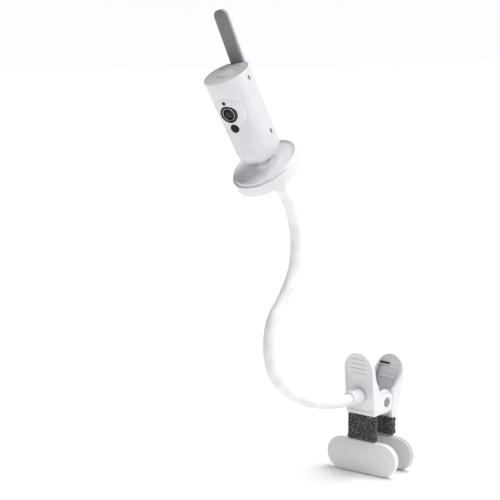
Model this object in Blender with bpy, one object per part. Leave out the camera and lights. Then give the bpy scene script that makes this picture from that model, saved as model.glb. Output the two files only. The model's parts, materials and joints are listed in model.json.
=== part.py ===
"""Baby monitor camera on a bending arm with a spring clip, as separate pieces.

Frame: metres, +Z up. The clip grips a rail between its front pad, whose face is at y = 0, and its
rear pad, whose face is at y = JAW_GAP. The origin is the middle of the front pad's face, and the
arm and the camera stand in front of the clip, towards -Y.
"""

import math

import bmesh
import bpy
from mathutils import Matrix, Vector
from mathutils.geometry import interpolate_bezier

for old in list(bpy.data.objects):
    bpy.data.objects.remove(old, do_unlink=True)

# Clearances
GAP = 0.0003                # between pieces that touch
LONG = 0.2                  # how far a cutter runs past what it cuts

# Clip: two shells on a pin, each with a handle above and a jaw below
JAW_GAP = 0.022             # thickness of the rail that the jaws hold
CLIP_HALF_WIDTH = 0.017
CLIP_WALL = 0.0022
CLIP_ARCH = 0.019           # height of the rounded top of a handle
FRONT_FOOT = (-0.0094, 0.0450)      # y, z of the lowest point of the front shell's outer face
FRONT_TOP = (-0.0150, 0.1100)
REAR_FOOT = (0.0312, 0.0365)
REAR_TOP = (0.0485, 0.0953)
PIN_Y = 0.0128
PIN_Z = 0.0551
PIN_RADIUS = 0.0024
PIN_HEAD_RADIUS = 0.0048
PIN_HEAD = 0.0010
EAR_RADIUS = 0.0112         # reach of the front shell's ears round the pin
EAR_GAP = 0.0008            # between an ear's edge and the rear shell's wall beside it
HUB_RADIUS = 0.0125         # inner ears of the rear shell round the pin
HUB_WIDTH = 0.0024

# Spring on the pin
WIRE_RADIUS = 0.00075
COIL_RADIUS = 0.0052
COIL_TURNS = 5
COIL_HALF_LENGTH = 0.0065

# Jaws, by depth outwards from a pad's face
PAD_THICKNESS = 0.0020
PLATE_HALF_LENGTH = 0.0415
PLATE_HALF_HEIGHT = 0.0170
PLATE_THICKNESS = 0.0055
PLATE_EDGE = 0.0012
NECK_HALF_WIDTH = 0.0140
NECK_BACK = 0.0026          # depth of the neck's inner and outer faces
NECK_FRONT = 0.0069
TONGUE = 0.0019             # thickness of the neck's end inside the plate
TONGUE_END = -0.0120
SLEEVE_WALL = 0.0021
JAW_SCREW_RADIUS = 0.0012
JAW_SCREW_HEAD = 0.0026

# Arm: a steel core inside a soft sleeve, bending at JOINTS places
ARM_RADIUS = 0.0056
CORE_RADIUS = 0.0030
ARM_BORE = 0.0033
SOCKET_RADIUS = 0.0075
SOCKET_LENGTH = 0.0185
SOCKET_Z = 0.0656
BEND_GAP = 0.0009           # from a bend's centre to each sleeve's end
JOINTS = 5
FIRST_BEND = 0.036          # along the arm from the socket, and back from the ferrule
LAST_BEND = 0.030
CORE_ENTRY = 0.0080         # of the core into the socket
CORE_INSET = 0.0008         # of the core's end inside the sleeve's at a bend
SOCKET_EDGE = 0.0010
STUD_THREAD = 0.0030
NUT_RADIUS = 0.0052
NUT_HEIGHT = 0.0024
ARM_ROUTE = (               # y, z of the arm's middle line, from the socket up to its last bend
    (-0.0620, 0.0690),
    (-0.0970, 0.0795),
    (-0.1310, 0.0965),
    (-0.1570, 0.1205),
    (-0.1665, 0.1485),
    (-0.1610, 0.1760),
    (-0.1405, 0.1974),
    (-0.1260, 0.2190),
    (-0.1218, 0.2450),
    (-0.1265, 0.2680),
    (-0.1370, 0.2915),
)

# Holder: an open ring at the arm's end. Its frame has +Z out of the base's top, origin in the rim's plane
HOLDER_PLACE = (-0.0079, -0.1632, 0.3322)
HOLDER_LEAN = math.radians(32.5)
HOLDER_TURN = math.radians(-22.3)
RING_WALL = 0.0018
RING_TOP = -0.0030
RING_HALF_SWEEP = math.radians(95)
CUP_FLOOR = 0.0019
FERRULE_LENGTH = 0.0044
FERRULE_RADIUS = 0.0072
CUP_SCREW_RADIUS = 0.0015
CUP_SCREW_HEAD = 0.0030

# Base: a round shell that sits in the ring
BASE_RADIUS = 0.0334
BASE_WALL = 0.0020
BASE_HEIGHT = 0.0116
RIM_WIDTH = 0.0015
RIM_STEP = 0.0017
COVER_THICKNESS = 0.0014
FOOT_THICKNESS = 0.0009
FOOT_EDGE = 0.0044          # of the foot ring in from the base's wall
FOOT_WIDTH = 0.0060
FOOT_GLUE = 0.00005
WEIGHT_INNER = 0.0105
INLET_DEPTH = 0.0100
WEIGHT_CLEARANCE = 0.0009   # between the weight and the inlet
INLET_BORE = 0.0018
INLET_PIN = 0.0006
COLLAR_RADIUS = 0.0078

# Ball joint
BALL_DEPTH = 0.0020         # of the ball's centre under the rim's plane
BALL_RADIUS = 0.0065
BALL_TILT = math.radians(10.2)
BALL_TILT_AXIS = math.radians(-154.6)   # direction of the tilt's axis in the base's plane
HEAD_TURN = math.radians(29.2)
STUD_RADIUS = 0.0040
FLANGE_RADIUS = 0.0072
FLANGE = 0.0018
KEEPER_WALL = 0.0018

# Head: its frame has +Z along the housing, -Y out of the lens, origin at the ball's centre
HEAD_CLEARANCE = 0.00128    # of the housing's underside over the ball
HEAD_LENGTH = 0.0920
HEAD_TOP_RADIUS = 0.0231
HEAD_LOW_RADIUS = 0.0217
HEAD_FILLET = 0.0132
HEAD_WALL = 0.0020
HEAD_RIM = 0.0011           # width of the housing's rim round the cap
CAP_THICKNESS = 0.0026
CAP_SINK = 0.0004           # of the cap's face under the housing's rim
BUTTON_RADIUS = 0.0088
LENS_DROP = 0.0329          # from the housing's top down to each window's centre
LENS_RADIUS = 0.0086
GLASS_RADIUS = 0.0052
LENS_BARREL = 0.0100
IR_DROP = 0.0481
IR_RADIUS = 0.0043
SENSOR_DROP = 0.0209
SENSOR_RADIUS = 0.0017
WINDOW_THICKNESS = 0.0035
VENT_DROPS = (0.0084, 0.0657)
VENT_SIZE = (0.0030, 0.0048)
REAR_BUTTON_RADIUS = 0.0030
REAR_BUTTON_DROP = 0.0330
REAR_BUTTON_SPREAD = 0.0065

# Antenna: a flat blade on a barrel between two lugs
ANTENNA_LEAN = math.radians(6.0)
ANTENNA_LENGTH = 0.0572
ANTENNA_WIDTH = 0.0146
ANTENNA_THICKNESS = 0.0064
HINGE_OUT = 0.0236          # from the housing's axis
HINGE_DROP = 0.0045
HINGE_PIN_RADIUS = 0.0010
LUG_WIDTH = 0.0022
LUG_SKIN = 0.0006           # left outside the pin's end in each lug
POCKET_DROP = 0.0160        # depth of the pocket under the housing's top, for folding back

# Inside
BOARD_THICKNESS = 0.0012
BOARD_SPACING = 0.0058
BOARD_MARGIN = 0.0060       # of the sensor board under the infra-red lamp
SENSOR_BOARD_WIDTH = 0.0200
MAIN_BOARD_WIDTH = 0.0320
LAMP_RADIUS = 0.0022
LAMP_LENGTH = 0.0085
SPEAKER_RADIUS = 0.0105
MICROPHONE_RADIUS = 0.0030
MICROPHONE_OUT = 0.0120


def material(name, colour, roughness, metallic=0.0):
    made = bpy.data.materials.new(name)
    made.use_nodes = True
    shader = made.node_tree.nodes["Principled BSDF"]
    shader.inputs["Base Color"].default_value = (*colour, 1.0)
    shader.inputs["Roughness"].default_value = roughness
    shader.inputs["Metallic"].default_value = metallic
    return made


WHITE = ((0.86, 0.86, 0.87), 0.38, 0.0)
SOFT_WHITE = ((0.80, 0.80, 0.81), 0.60, 0.0)
GREY = ((0.48, 0.49, 0.51), 0.50, 0.0)
DARK = ((0.05, 0.05, 0.055), 0.35, 0.0)
BLACK_FABRIC = ((0.02, 0.02, 0.022), 0.90, 0.0)
RUBBER = ((0.10, 0.10, 0.10), 0.80, 0.0)
STEEL = ((0.55, 0.56, 0.58), 0.30, 1.0)
GLASS = ((0.02, 0.02, 0.03), 0.05, 0.0)
BOARD = ((0.03, 0.16, 0.08), 0.50, 0.0)


def empty(name, place, parent=None):
    """A frame for the pieces that sit on it, placed in its parent's frame."""
    made = bpy.data.objects.new(name, None)
    bpy.context.scene.collection.objects.link(made)
    made.parent = parent
    made.matrix_basis = place
    return made


def add(name, mesh, finish, parent=None, origin=(0.0, 0.0, 0.0)):
    """An object of a bmesh given in its parent's frame, with its own origin at the point given."""
    bmesh.ops.recalc_face_normals(mesh, faces=mesh.faces)
    bmesh.ops.translate(mesh, verts=mesh.verts, vec=-Vector(origin))
    data = bpy.data.meshes.new(name)
    mesh.to_mesh(data)
    mesh.free()
    made = bpy.data.objects.new(name, data)
    bpy.context.scene.collection.objects.link(made)
    made.parent = parent
    made.location = origin
    if finish:
        data.materials.append(material(name, *finish))
        data.shade_smooth()
        data.set_sharp_from_angle(angle=math.radians(35))
    else:
        made.hide_render = True
        made.display_type = "WIRE"
    return made


def combine(target, mesh, operation):
    """Joins to an object, or cuts from it, a shape given in the frame of the object's parent."""
    tool = add(f"{target.name}_{operation.lower()}_{len(target.modifiers)}", mesh, None, target.parent)
    step = target.modifiers.new(tool.name, "BOOLEAN")
    step.operation = operation
    step.object = tool
    step.solver = "EXACT"


def cut(target, mesh):
    combine(target, mesh, "DIFFERENCE")


def join(target, mesh):
    combine(target, mesh, "UNION")


def arc(centre, radius, start, end, steps):
    """Points on a circle in a plane, with the angles in degrees."""
    angles = [math.radians(start + (end - start) * i / steps) for i in range(steps + 1)]
    return [(centre[0] + radius * math.cos(a), centre[1] + radius * math.sin(a)) for a in angles]


def layered(layers):
    """A solid through rings of points that have the same number of points each."""
    mesh = bmesh.new()
    rings = [[mesh.verts.new(point) for point in layer] for layer in layers]
    for low, high in zip(rings, rings[1:]):
        for i in range(len(low)):
            j = (i + 1) % len(low)
            mesh.faces.new((low[i], low[j], high[j], high[i]))
    mesh.faces.new(rings[0][::-1])
    mesh.faces.new(rings[-1])
    return mesh


def prism(outline, low, high, axis):
    """An outline of points in the other two axes, in the order x, y, z, drawn out along an axis."""
    def point(a, b, depth):
        return {"X": (depth, a, b), "Y": (a, depth, b), "Z": (a, b, depth)}[axis]

    return layered([[point(a, b, depth) for a, b in outline] for depth in (low, high)])


def box(low, high):
    outline = [(low[0], low[1]), (high[0], low[1]), (high[0], high[1]), (low[0], high[1])]
    return prism(outline, low[2], high[2], "Z")


def turned(profile, steps, axis="Z", centre=(0.0, 0.0, 0.0), start=0.0, sweep=2 * math.pi):
    """A closed profile of (radius, height) points turned about an axis, all round or through an arc."""
    def point(radius, height, angle):
        a, b = radius * math.cos(angle), radius * math.sin(angle)
        place = {"X": (height, a, b), "Y": (a, height, b), "Z": (a, b, height)}[axis]
        return Vector(place) + Vector(centre)

    mesh = bmesh.new()
    whole = sweep > 2 * math.pi - 1e-6
    count = steps if whole else steps + 1
    rings = []
    for radius, height in profile:
        if radius < 1e-9:
            rings.append([mesh.verts.new(point(0.0, height, 0.0))] * count)
            continue
        rings.append([mesh.verts.new(point(radius, height, start + sweep * i / steps)) for i in range(count)])
    for one, two in zip(rings, rings[1:] + rings[:1]):
        for i in range(count if whole else count - 1):
            j = (i + 1) % count
            corners = list(dict.fromkeys((one[i], one[j], two[j], two[i])))
            if len(corners) > 2:
                mesh.faces.new(corners)
    if not whole:
        mesh.faces.new([ring[0] for ring in rings])
        mesh.faces.new([ring[-1] for ring in rings][::-1])
    return mesh


def cylinder(radius, low, high, axis="Z", centre=(0.0, 0.0, 0.0), steps=20):
    return turned([(0.0, low), (radius, low), (radius, high), (0.0, high)], steps, axis, centre)


def tube(path, radius, sides, bore=0.0):
    """A round rod along a path of (point, direction) pairs, or a pipe when it has a bore."""
    def ring(point, direction, size):
        side = Vector((1.0, 0.0, 0.0))
        side = (side - side.dot(direction) * direction).normalized()
        up = direction.cross(side)
        angles = [2 * math.pi * i / sides for i in range(sides)]
        return [point + size * (math.cos(a) * side + math.sin(a) * up) for a in angles]

    if not bore:
        return layered([ring(point, direction, radius) for point, direction in path])
    mesh = bmesh.new()
    outer = [[mesh.verts.new(p) for p in ring(point, direction, radius)] for point, direction in path]
    inner = [[mesh.verts.new(p) for p in ring(point, direction, bore)] for point, direction in path]
    loops = outer + inner[::-1]
    for one, two in zip(loops, loops[1:] + loops[:1]):
        for i in range(sides):
            j = (i + 1) % sides
            mesh.faces.new((one[i], one[j], two[j], two[i]))
    return mesh


# ---------------------------------------------------------------- clip shells


def on_line(foot, top, z):
    """y of a shell's outer face at a height."""
    return foot[0] + (top[0] - foot[0]) * (z - foot[1]) / (top[1] - foot[1])


def arched_block(foot, top, inset, inward, reach, narrower=0.0):
    """A block with a rounded top that starts an inset behind a shell's leaning outer face."""
    half = CLIP_HALF_WIDTH - inset - narrower
    crown = top[1] - inset
    low = foot[1] if inset == 0 else foot[1] - 0.02
    arch = CLIP_ARCH - inset
    outline = [(-half, low), (half, low)]
    outline += [
        (half * math.cos(a), crown - arch + arch * math.sin(a))
        for a in (math.pi * i / 16 for i in range(17))
    ]
    near = [(x, on_line(foot, top, z) + inward * inset, z) for x, z in outline]
    far = [(x, reach, z) for x, z in outline]
    return layered([near, far])


def shell(name, foot, top, inward, side_outline, narrower=0.0, parent=None, origin=(0.0, 0.0, 0.0)):
    """A handle and its ears: a block that leans, cut to its side view and hollowed from inside."""
    middle = PIN_Y + inward * LONG
    made = add(name, arched_block(foot, top, 0.0, inward, middle), WHITE, parent, origin)
    combine(made, prism(side_outline, -LONG, LONG, "X"), "INTERSECT")
    cut(made, arched_block(foot, top, CLIP_WALL, inward, middle, narrower))
    return made


def jaw_neck(made, foot, inward, face):
    """The jaw under a handle: a block in the shell, a neck, and a tongue that the plate takes."""
    def depth(value):
        return face - inward * value

    def slab(half, outer, inner, low, high):
        ends = sorted((depth(outer), depth(inner)))
        return box((-half, ends[0], low), (half, ends[1], high))

    root = foot[1] + 0.0050
    join(made, slab(CLIP_HALF_WIDTH - CLIP_WALL / 2, NECK_FRONT + CLIP_WALL, NECK_BACK, foot[1] + GAP, root))
    neck_low = PLATE_HALF_HEIGHT + GAP
    join(made, slab(NECK_HALF_WIDTH, NECK_FRONT, NECK_BACK, neck_low, root - 0.001))
    tongue_outer = NECK_BACK + TONGUE
    join(made, slab(NECK_HALF_WIDTH, tongue_outer, NECK_BACK, TONGUE_END, neck_low + 0.001))
    hole = JAW_SCREW_RADIUS + GAP
    cut(made, cylinder(hole, face - 0.02, face + 0.02, "Y", steps=12))
    head = sorted((depth(NECK_BACK + 0.0012), depth(0.0)))
    cut(made, cylinder(JAW_SCREW_HEAD + GAP, head[0], head[1], "Y", steps=16))


ear_top = (
    (PIN_Y + 0.0050, PIN_Z + 0.0084),
    (PIN_Y, PIN_Z + 0.0082),
    (PIN_Y - 0.0060, PIN_Z + 0.0092),
    (PIN_Y - 0.0120, PIN_Z + 0.0127),
)
front_side = [(FRONT_FOOT[0] - 0.02, FRONT_FOOT[1]), (PIN_Y - 0.0034, FRONT_FOOT[1] - 0.0005)]
front_side += arc((PIN_Y, PIN_Z), EAR_RADIUS, -84, 40, 10)
front_side += ear_top
front_side += [
    (-0.0066, 0.0830),
    (-0.0086, 0.0930),
    (-0.0100, FRONT_TOP[1] + 0.001),
    (FRONT_TOP[0] - 0.02, FRONT_TOP[1] + 0.001),
]
front_shell = shell("front_clip_shell", FRONT_FOOT, FRONT_TOP, 1, front_side)
jaw_neck(front_shell, FRONT_FOOT, 1, 0.0)

pivot = empty("rear_jaw_pivot", Matrix.Translation((0.0, PIN_Y, PIN_Z)))
frame_of_clip = empty("rear_clip_frame", Matrix.Translation((0.0, -PIN_Y, -PIN_Z)), pivot)
PIVOT = (0.0, PIN_Y, PIN_Z)

rear_side = [(REAR_FOOT[0] + 0.02, REAR_FOOT[1]), (REAR_FOOT[0] + 0.03, REAR_TOP[1] + 0.001)]
rear_side += [
    (REAR_TOP[0] - 0.0030, REAR_TOP[1] + 0.001),
    (REAR_TOP[0] - 0.0045, REAR_TOP[1] - 0.0080),
    (REAR_TOP[0] - 0.0101, REAR_TOP[1] - 0.0187),
    (REAR_TOP[0] - 0.0177, REAR_TOP[1] - 0.0263),
    (PIN_Y + 0.0110, PIN_Z + 0.0090),
]
rear_side += arc((PIN_Y, PIN_Z), EAR_RADIUS + EAR_GAP, 30, -50, 7)
rear_side += [(PIN_Y + EAR_RADIUS - 0.0010, REAR_FOOT[1])]
hub_outer = CLIP_HALF_WIDTH - CLIP_WALL - 2 * GAP
narrower = 3 * GAP          # so that the inner ears merge with the side walls
rear_shell = shell("rear_clip_shell", REAR_FOOT, REAR_TOP, -1, rear_side, narrower, frame_of_clip, PIVOT)
jaw_neck(rear_shell, REAR_FOOT, -1, JAW_GAP)
hub_side = arc((PIN_Y, PIN_Z), HUB_RADIUS, 45, 270, 15)
hub_side += [
    (REAR_FOOT[0] - CLIP_WALL, REAR_FOOT[1] + 0.0060),
    (on_line(REAR_FOOT, REAR_TOP, PIN_Z) - CLIP_WALL / 2, PIN_Z - 0.0080),
    (on_line(REAR_FOOT, REAR_TOP, PIN_Z) - CLIP_WALL / 2, PIN_Z + 0.0040),
]
for side in (-1, 1):
    ends = sorted((side * hub_outer, side * (hub_outer - HUB_WIDTH)))
    join(rear_shell, prism(hub_side, ends[0], ends[1], "X"))
    seat = sorted((side * (CLIP_HALF_WIDTH - PIN_HEAD - GAP / 2), side * (CLIP_HALF_WIDTH + 0.01)))
    cut(front_shell, cylinder(PIN_HEAD_RADIUS + GAP, seat[0], seat[1], "X", (0.0, PIN_Y, PIN_Z)))
bore = cylinder(PIN_RADIUS + 0.00008, -LONG, LONG, "X", (0.0, PIN_Y, PIN_Z))
cut(rear_shell, bore.copy())
cut(front_shell, bore)

# Pin with a head on the right, pressed into a cap on the left
end = CLIP_HALF_WIDTH
pin_profile = [(0.0, -end), (PIN_RADIUS, -end), (PIN_RADIUS, end - PIN_HEAD)]
pin_profile += [(PIN_HEAD_RADIUS, end - PIN_HEAD), (PIN_HEAD_RADIUS, end), (0.0, end)]
add("pivot_pin", turned(pin_profile, 20, "X", PIVOT), STEEL)
cap_ring = [(PIN_RADIUS + GAP / 2, -end), (PIN_HEAD_RADIUS, -end)]
cap_ring += [(PIN_HEAD_RADIUS, PIN_HEAD - end), (PIN_RADIUS + GAP / 2, PIN_HEAD - end)]
add("pivot_pin_cap", turned(cap_ring, 20, "X", PIVOT), STEEL)


def spring_path():
    """The coil on the pin, with an arm up each handle's inner face and a bent tip across the rear one."""
    stand_off = CLIP_WALL + WIRE_RADIUS + 2 * GAP
    high, low = PIN_Z + 0.0260, PIN_Z + 0.0140
    points = []
    for z in (high, low):
        points.append((COIL_HALF_LENGTH, on_line(FRONT_FOOT, FRONT_TOP, z) + stand_off, z))
    turn = 10
    for i in range(COIL_TURNS * turn + turn // 2 + 1):
        angle = math.pi + 2 * math.pi * i / turn
        x = COIL_HALF_LENGTH * (1 - 2 * i / (COIL_TURNS * turn + turn // 2))
        points.append((x, PIN_Y + COIL_RADIUS * math.cos(angle), PIN_Z + COIL_RADIUS * math.sin(angle)))
    for x, rise in ((0.0078, 0.0060), (0.0108, 0.0120), (0.0120, 0.0180), (0.0117, 0.0240), (0.0102, 0.0288),
                    (0.0086, 0.0304), (0.0015, 0.0314)):
        z = PIN_Z + rise
        points.append((-x, on_line(REAR_FOOT, REAR_TOP, z) - stand_off, z))
    return [Vector(point) for point in points]


def bent_wire(points, radius, sides):
    """A wire whose rings turn with it, so that it keeps its thickness round a coil."""
    ahead = (points[1] - points[0]).normalized()
    side = ahead.orthogonal().normalized()
    layers = []
    for i, point in enumerate(points):
        before = points[max(i - 1, 0)]
        after = points[min(i + 1, len(points) - 1)]
        direction = (after - before).normalized()
        side = (side - side.dot(direction) * direction).normalized()
        up = direction.cross(side)
        angles = [2 * math.pi * k / sides for k in range(sides)]
        layers.append([point + radius * (math.cos(a) * side + math.sin(a) * up) for a in angles])
    return layered(layers)


add("torsion_spring", bent_wire(spring_path(), WIRE_RADIUS, 6), STEEL, frame_of_clip, PIVOT)

# ---------------------------------------------------------------- jaws


def stadium(inset):
    """The outline of a jaw plate: a bar with round ends, made smaller all round."""
    radius = PLATE_HALF_HEIGHT - inset
    straight = PLATE_HALF_LENGTH - PLATE_HALF_HEIGHT
    return arc((straight, 0.0), radius, -90, 90, 18) + arc((-straight, 0.0), radius, 90, 270, 18)


def jaw(which, face, inward, parent, origin):
    """Plate, pad, woven sleeve and screw of one jaw, set by their depth outwards from its face."""
    def depth(value):
        return face - inward * value

    def slab(half, inner, outer, low, high):
        ends = sorted((depth(inner), depth(outer)))
        return box((-half, ends[0], low), (half, ends[1], high))

    back = PAD_THICKNESS + GAP
    front = back + PLATE_THICKNESS
    steps = ((back, 0.0), (front - PLATE_EDGE, 0.0))
    steps += ((front - PLATE_EDGE / 3, PLATE_EDGE / 3), (front, PLATE_EDGE))
    rings = [[(x, depth(value), z) for x, z in stadium(inset)] for value, inset in steps]
    plate = add(f"{which}_jaw_plate", layered(rings), WHITE, parent, origin)
    pocket = NECK_BACK + TONGUE + GAP
    cut(plate, slab(NECK_HALF_WIDTH + GAP, 0.0, pocket, TONGUE_END - GAP, PLATE_HALF_HEIGHT + 0.01))
    hole = sorted((depth(0.0), depth(front - 0.0008)))
    cut(plate, cylinder(JAW_SCREW_RADIUS + GAP, hole[0], hole[1], "Y", steps=12))

    pad_rings = ((PAD_THICKNESS, 0.0012), (0.0, 0.0012))
    rings = [[(x, depth(value), z) for x, z in stadium(inset)] for value, inset in pad_rings]
    add(f"{which}_jaw_pad", layered(rings), SOFT_WHITE, parent, origin)

    foot = FRONT_FOOT if which == "front" else REAR_FOOT
    low, high = PLATE_HALF_HEIGHT + 2 * GAP, foot[1] - GAP
    inner = NECK_BACK - GAP
    outer = NECK_FRONT + GAP
    half = NECK_HALF_WIDTH + GAP
    made = slab(half + SLEEVE_WALL, inner - SLEEVE_WALL, outer + SLEEVE_WALL, low, high)
    sleeve = add(f"{which}_grip_sleeve", made, BLACK_FABRIC, parent, origin)
    cut(sleeve, slab(half, inner, outer, low - 0.01, high + 0.01))

    head = NECK_BACK + 0.0001
    profile = [(0.0, depth(head)), (JAW_SCREW_HEAD, depth(head)), (JAW_SCREW_HEAD, depth(head + 0.0010))]
    profile += [(JAW_SCREW_RADIUS, depth(head + 0.0010)), (JAW_SCREW_RADIUS, depth(front - 0.0011))]
    profile += [(0.0, depth(front - 0.0011))]
    add(f"{which}_jaw_screw", turned(profile, 12, "Y"), STEEL, parent, origin)


jaw("front", 0.0, 1, None, (0.0, 0.0, 0.0))
jaw("rear", JAW_GAP, -1, frame_of_clip, PIVOT)

# ---------------------------------------------------------------- arm

holder = empty(
    "holder_frame",
    Matrix.Translation(HOLDER_PLACE)
    @ Matrix.Rotation(HOLDER_TURN, 4, "Z")
    @ Matrix.Rotation(HOLDER_LEAN, 4, "X"),
)
bpy.context.view_layer.update()
holder_matrix = holder.matrix_world.copy()
out_of_base = (holder_matrix.to_3x3() @ Vector((0.0, 0.0, 1.0))).normalized()
CUP_UNDERSIDE = -BASE_HEIGHT - FOOT_THICKNESS - GAP - CUP_FLOOR

face_y = on_line(FRONT_FOOT, FRONT_TOP, SOCKET_Z)
socket_end = face_y - SOCKET_LENGTH
arm_start = Vector((0.0, socket_end - GAP, SOCKET_Z))
arm_end = Vector(HOLDER_PLACE) + out_of_base * (CUP_UNDERSIDE - FERRULE_LENGTH - 2 * GAP)


def arm_line():
    """Closely spaced points on one smooth curve through the arm's route."""
    route = [arm_start] + [Vector((0.0, y, z)) for y, z in ARM_ROUTE] + [arm_end]
    aims = [Vector((0.0, -1.0, 0.0))]
    aims += [(after - before).normalized() for before, after in zip(route, route[2:])]
    aims += [out_of_base]
    points = [arm_start]
    for i in range(len(route) - 1):
        reach = (route[i + 1] - route[i]).length / 3
        handles = route[i] + reach * aims[i], route[i + 1] - reach * aims[i + 1]
        points += interpolate_bezier(route[i], *handles, route[i + 1], 24)[1:]
    return points


LINE = arm_line()
LENGTHS = [0.0]
for one, two in zip(LINE, LINE[1:]):
    LENGTHS.append(LENGTHS[-1] + (two - one).length)


def along(length):
    """(point, direction) of the arm's middle line at a length from its start."""
    i = 1
    while i < len(LINE) - 1 and LENGTHS[i] < length:
        i += 1
    share = (length - LENGTHS[i - 1]) / (LENGTHS[i] - LENGTHS[i - 1])
    before = (LINE[i] - LINE[max(i - 2, 0)]).normalized()
    after = (LINE[min(i + 1, len(LINE) - 1)] - LINE[i - 1]).normalized()
    return LINE[i - 1].lerp(LINE[i], share), before.lerp(after, share).normalized()


def stretch(low, high, pitch):
    count = max(2, round((high - low) / pitch))
    return [along(low + (high - low) * i / count) for i in range(count + 1)]


ARM_LENGTH = LENGTHS[-1]
BENDS = [
    FIRST_BEND + (ARM_LENGTH - LAST_BEND - FIRST_BEND) * i / (JOINTS - 1)
    for i in range(JOINTS)
]
stops = [0.0] + BENDS + [ARM_LENGTH]
arm_frame = None
for i in range(JOINTS + 1):
    centre = Vector((0.0, 0.0, 0.0))
    if i:
        centre = along(stops[i])[0]
        bend = empty(f"arm_bend_{i}", Matrix.Translation(centre))
        arm_frame = empty(f"arm_frame_{i}", Matrix.Translation(-centre), bend)
    low = stops[i] + (BEND_GAP if i else 0.0)
    high = stops[i + 1] - (BEND_GAP if i < JOINTS else GAP)
    path = stretch(low, high, 0.0075)
    add(f"arm_sleeve_{i}", tube(path, ARM_RADIUS, 12, ARM_BORE), SOFT_WHITE, arm_frame, centre)
    first, last = path[0], path[-1]
    if i:
        path[0] = (first[0] + CORE_INSET * first[1], first[1])
    else:
        path.insert(0, (first[0] + Vector((0.0, CORE_ENTRY, 0.0)), first[1]))
    if i < JOINTS:
        path[-1] = (last[0] - CORE_INSET * last[1], last[1])
    add(f"arm_core_{i}", tube(path, CORE_RADIUS, 12), STEEL, arm_frame, centre)

# Socket on the front handle, with a stud through the handle and a nut behind it
slope = (FRONT_FOOT[0] - FRONT_TOP[0]) / (FRONT_TOP[1] - FRONT_FOOT[1])
seat_y = face_y - SOCKET_RADIUS * slope - GAP
pocket = socket_end + CORE_ENTRY + GAP
handle_inside = on_line(FRONT_FOOT, FRONT_TOP, SOCKET_Z - NUT_RADIUS) + CLIP_WALL + 2 * GAP
stud_end = handle_inside + NUT_HEIGHT + GAP
socket_profile = [
    (CORE_RADIUS + GAP, socket_end),
    (SOCKET_RADIUS - SOCKET_EDGE, socket_end),
    (SOCKET_RADIUS, socket_end + SOCKET_EDGE),
    (SOCKET_RADIUS, seat_y),
    (STUD_THREAD, seat_y),
    (STUD_THREAD, stud_end),
    (0.0, stud_end),
    (0.0, pocket),
    (CORE_RADIUS + GAP, pocket),
]
socket_centre = (0.0, 0.0, SOCKET_Z)
add("arm_socket", turned(socket_profile, 24, "Y", socket_centre), WHITE)
cut(front_shell, cylinder(STUD_THREAD + GAP, -LONG, 0.0, "Y", socket_centre, 16))
nut_end = handle_inside + NUT_HEIGHT
nut = add("arm_socket_nut", cylinder(NUT_RADIUS, handle_inside, nut_end, "Y", socket_centre, 6), STEEL)
cut(nut, cylinder(STUD_THREAD + 0.0001, -LONG, LONG, "Y", socket_centre, 16))

# ---------------------------------------------------------------- holder

on_holder = empty("holder_on_arm", holder_matrix, arm_frame)
bpy.context.view_layer.update()
HOLDER_ORIGIN = tuple(holder_matrix.inverted() @ along(stops[-2])[0])

ferrule_top = CUP_UNDERSIDE - GAP
ferrule_low = CUP_UNDERSIDE - FERRULE_LENGTH
ferrule = add(
    "arm_ferrule",
    turned(
        [
            (0.0, ferrule_top),
            (0.0, ferrule_low),
            (FERRULE_RADIUS - SOCKET_EDGE, ferrule_low),
            (FERRULE_RADIUS, ferrule_low + SOCKET_EDGE),
            (FERRULE_RADIUS, ferrule_top),
        ],
        24,
    ),
    WHITE,
    on_holder,
    HOLDER_ORIGIN,
)
cut(ferrule, cylinder(CUP_SCREW_RADIUS + GAP, ferrule_low + 0.0008, ferrule_top + 0.001, steps=12))

ring_inner = BASE_RADIUS + GAP
ring_outer = ring_inner + RING_WALL
cup_floor_top = CUP_UNDERSIDE + CUP_FLOOR
floor_radius = BASE_RADIUS - 0.0020
cup = add(
    "holder_cup",
    cylinder(floor_radius, CUP_UNDERSIDE, cup_floor_top, steps=48),
    WHITE,
    on_holder,
    HOLDER_ORIGIN,
)
ring_profile = [
    (floor_radius - 0.0030, CUP_UNDERSIDE),
    (ring_outer - 0.0010, CUP_UNDERSIDE),
    (ring_outer, CUP_UNDERSIDE + 0.0010),
    (ring_outer, RING_TOP),
    (ring_inner, RING_TOP),
    (ring_inner, cup_floor_top),
    (floor_radius - 0.0030, cup_floor_top),
]
ring = turned(ring_profile, 28, start=-math.pi / 2 - RING_HALF_SWEEP, sweep=2 * RING_HALF_SWEEP)
join(cup, ring)
cut(cup, cylinder(CUP_SCREW_RADIUS + GAP, CUP_UNDERSIDE - 0.001, cup_floor_top + 0.001, steps=12))
screw_seat = CUP_UNDERSIDE + 0.0008
cut(cup, cylinder(CUP_SCREW_HEAD + GAP, screw_seat, cup_floor_top + 0.001, steps=16))
add(
    "holder_screw",
    turned(
        [
            (0.0, cup_floor_top),
            (0.0, ferrule_low + 0.0011),
            (CUP_SCREW_RADIUS, ferrule_low + 0.0011),
            (CUP_SCREW_RADIUS, screw_seat + 0.0001),
            (CUP_SCREW_HEAD, screw_seat + 0.0001),
            (CUP_SCREW_HEAD, cup_floor_top),
        ],
        16,
    ),
    STEEL,
    on_holder,
    HOLDER_ORIGIN,
)

# ---------------------------------------------------------------- base

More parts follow.
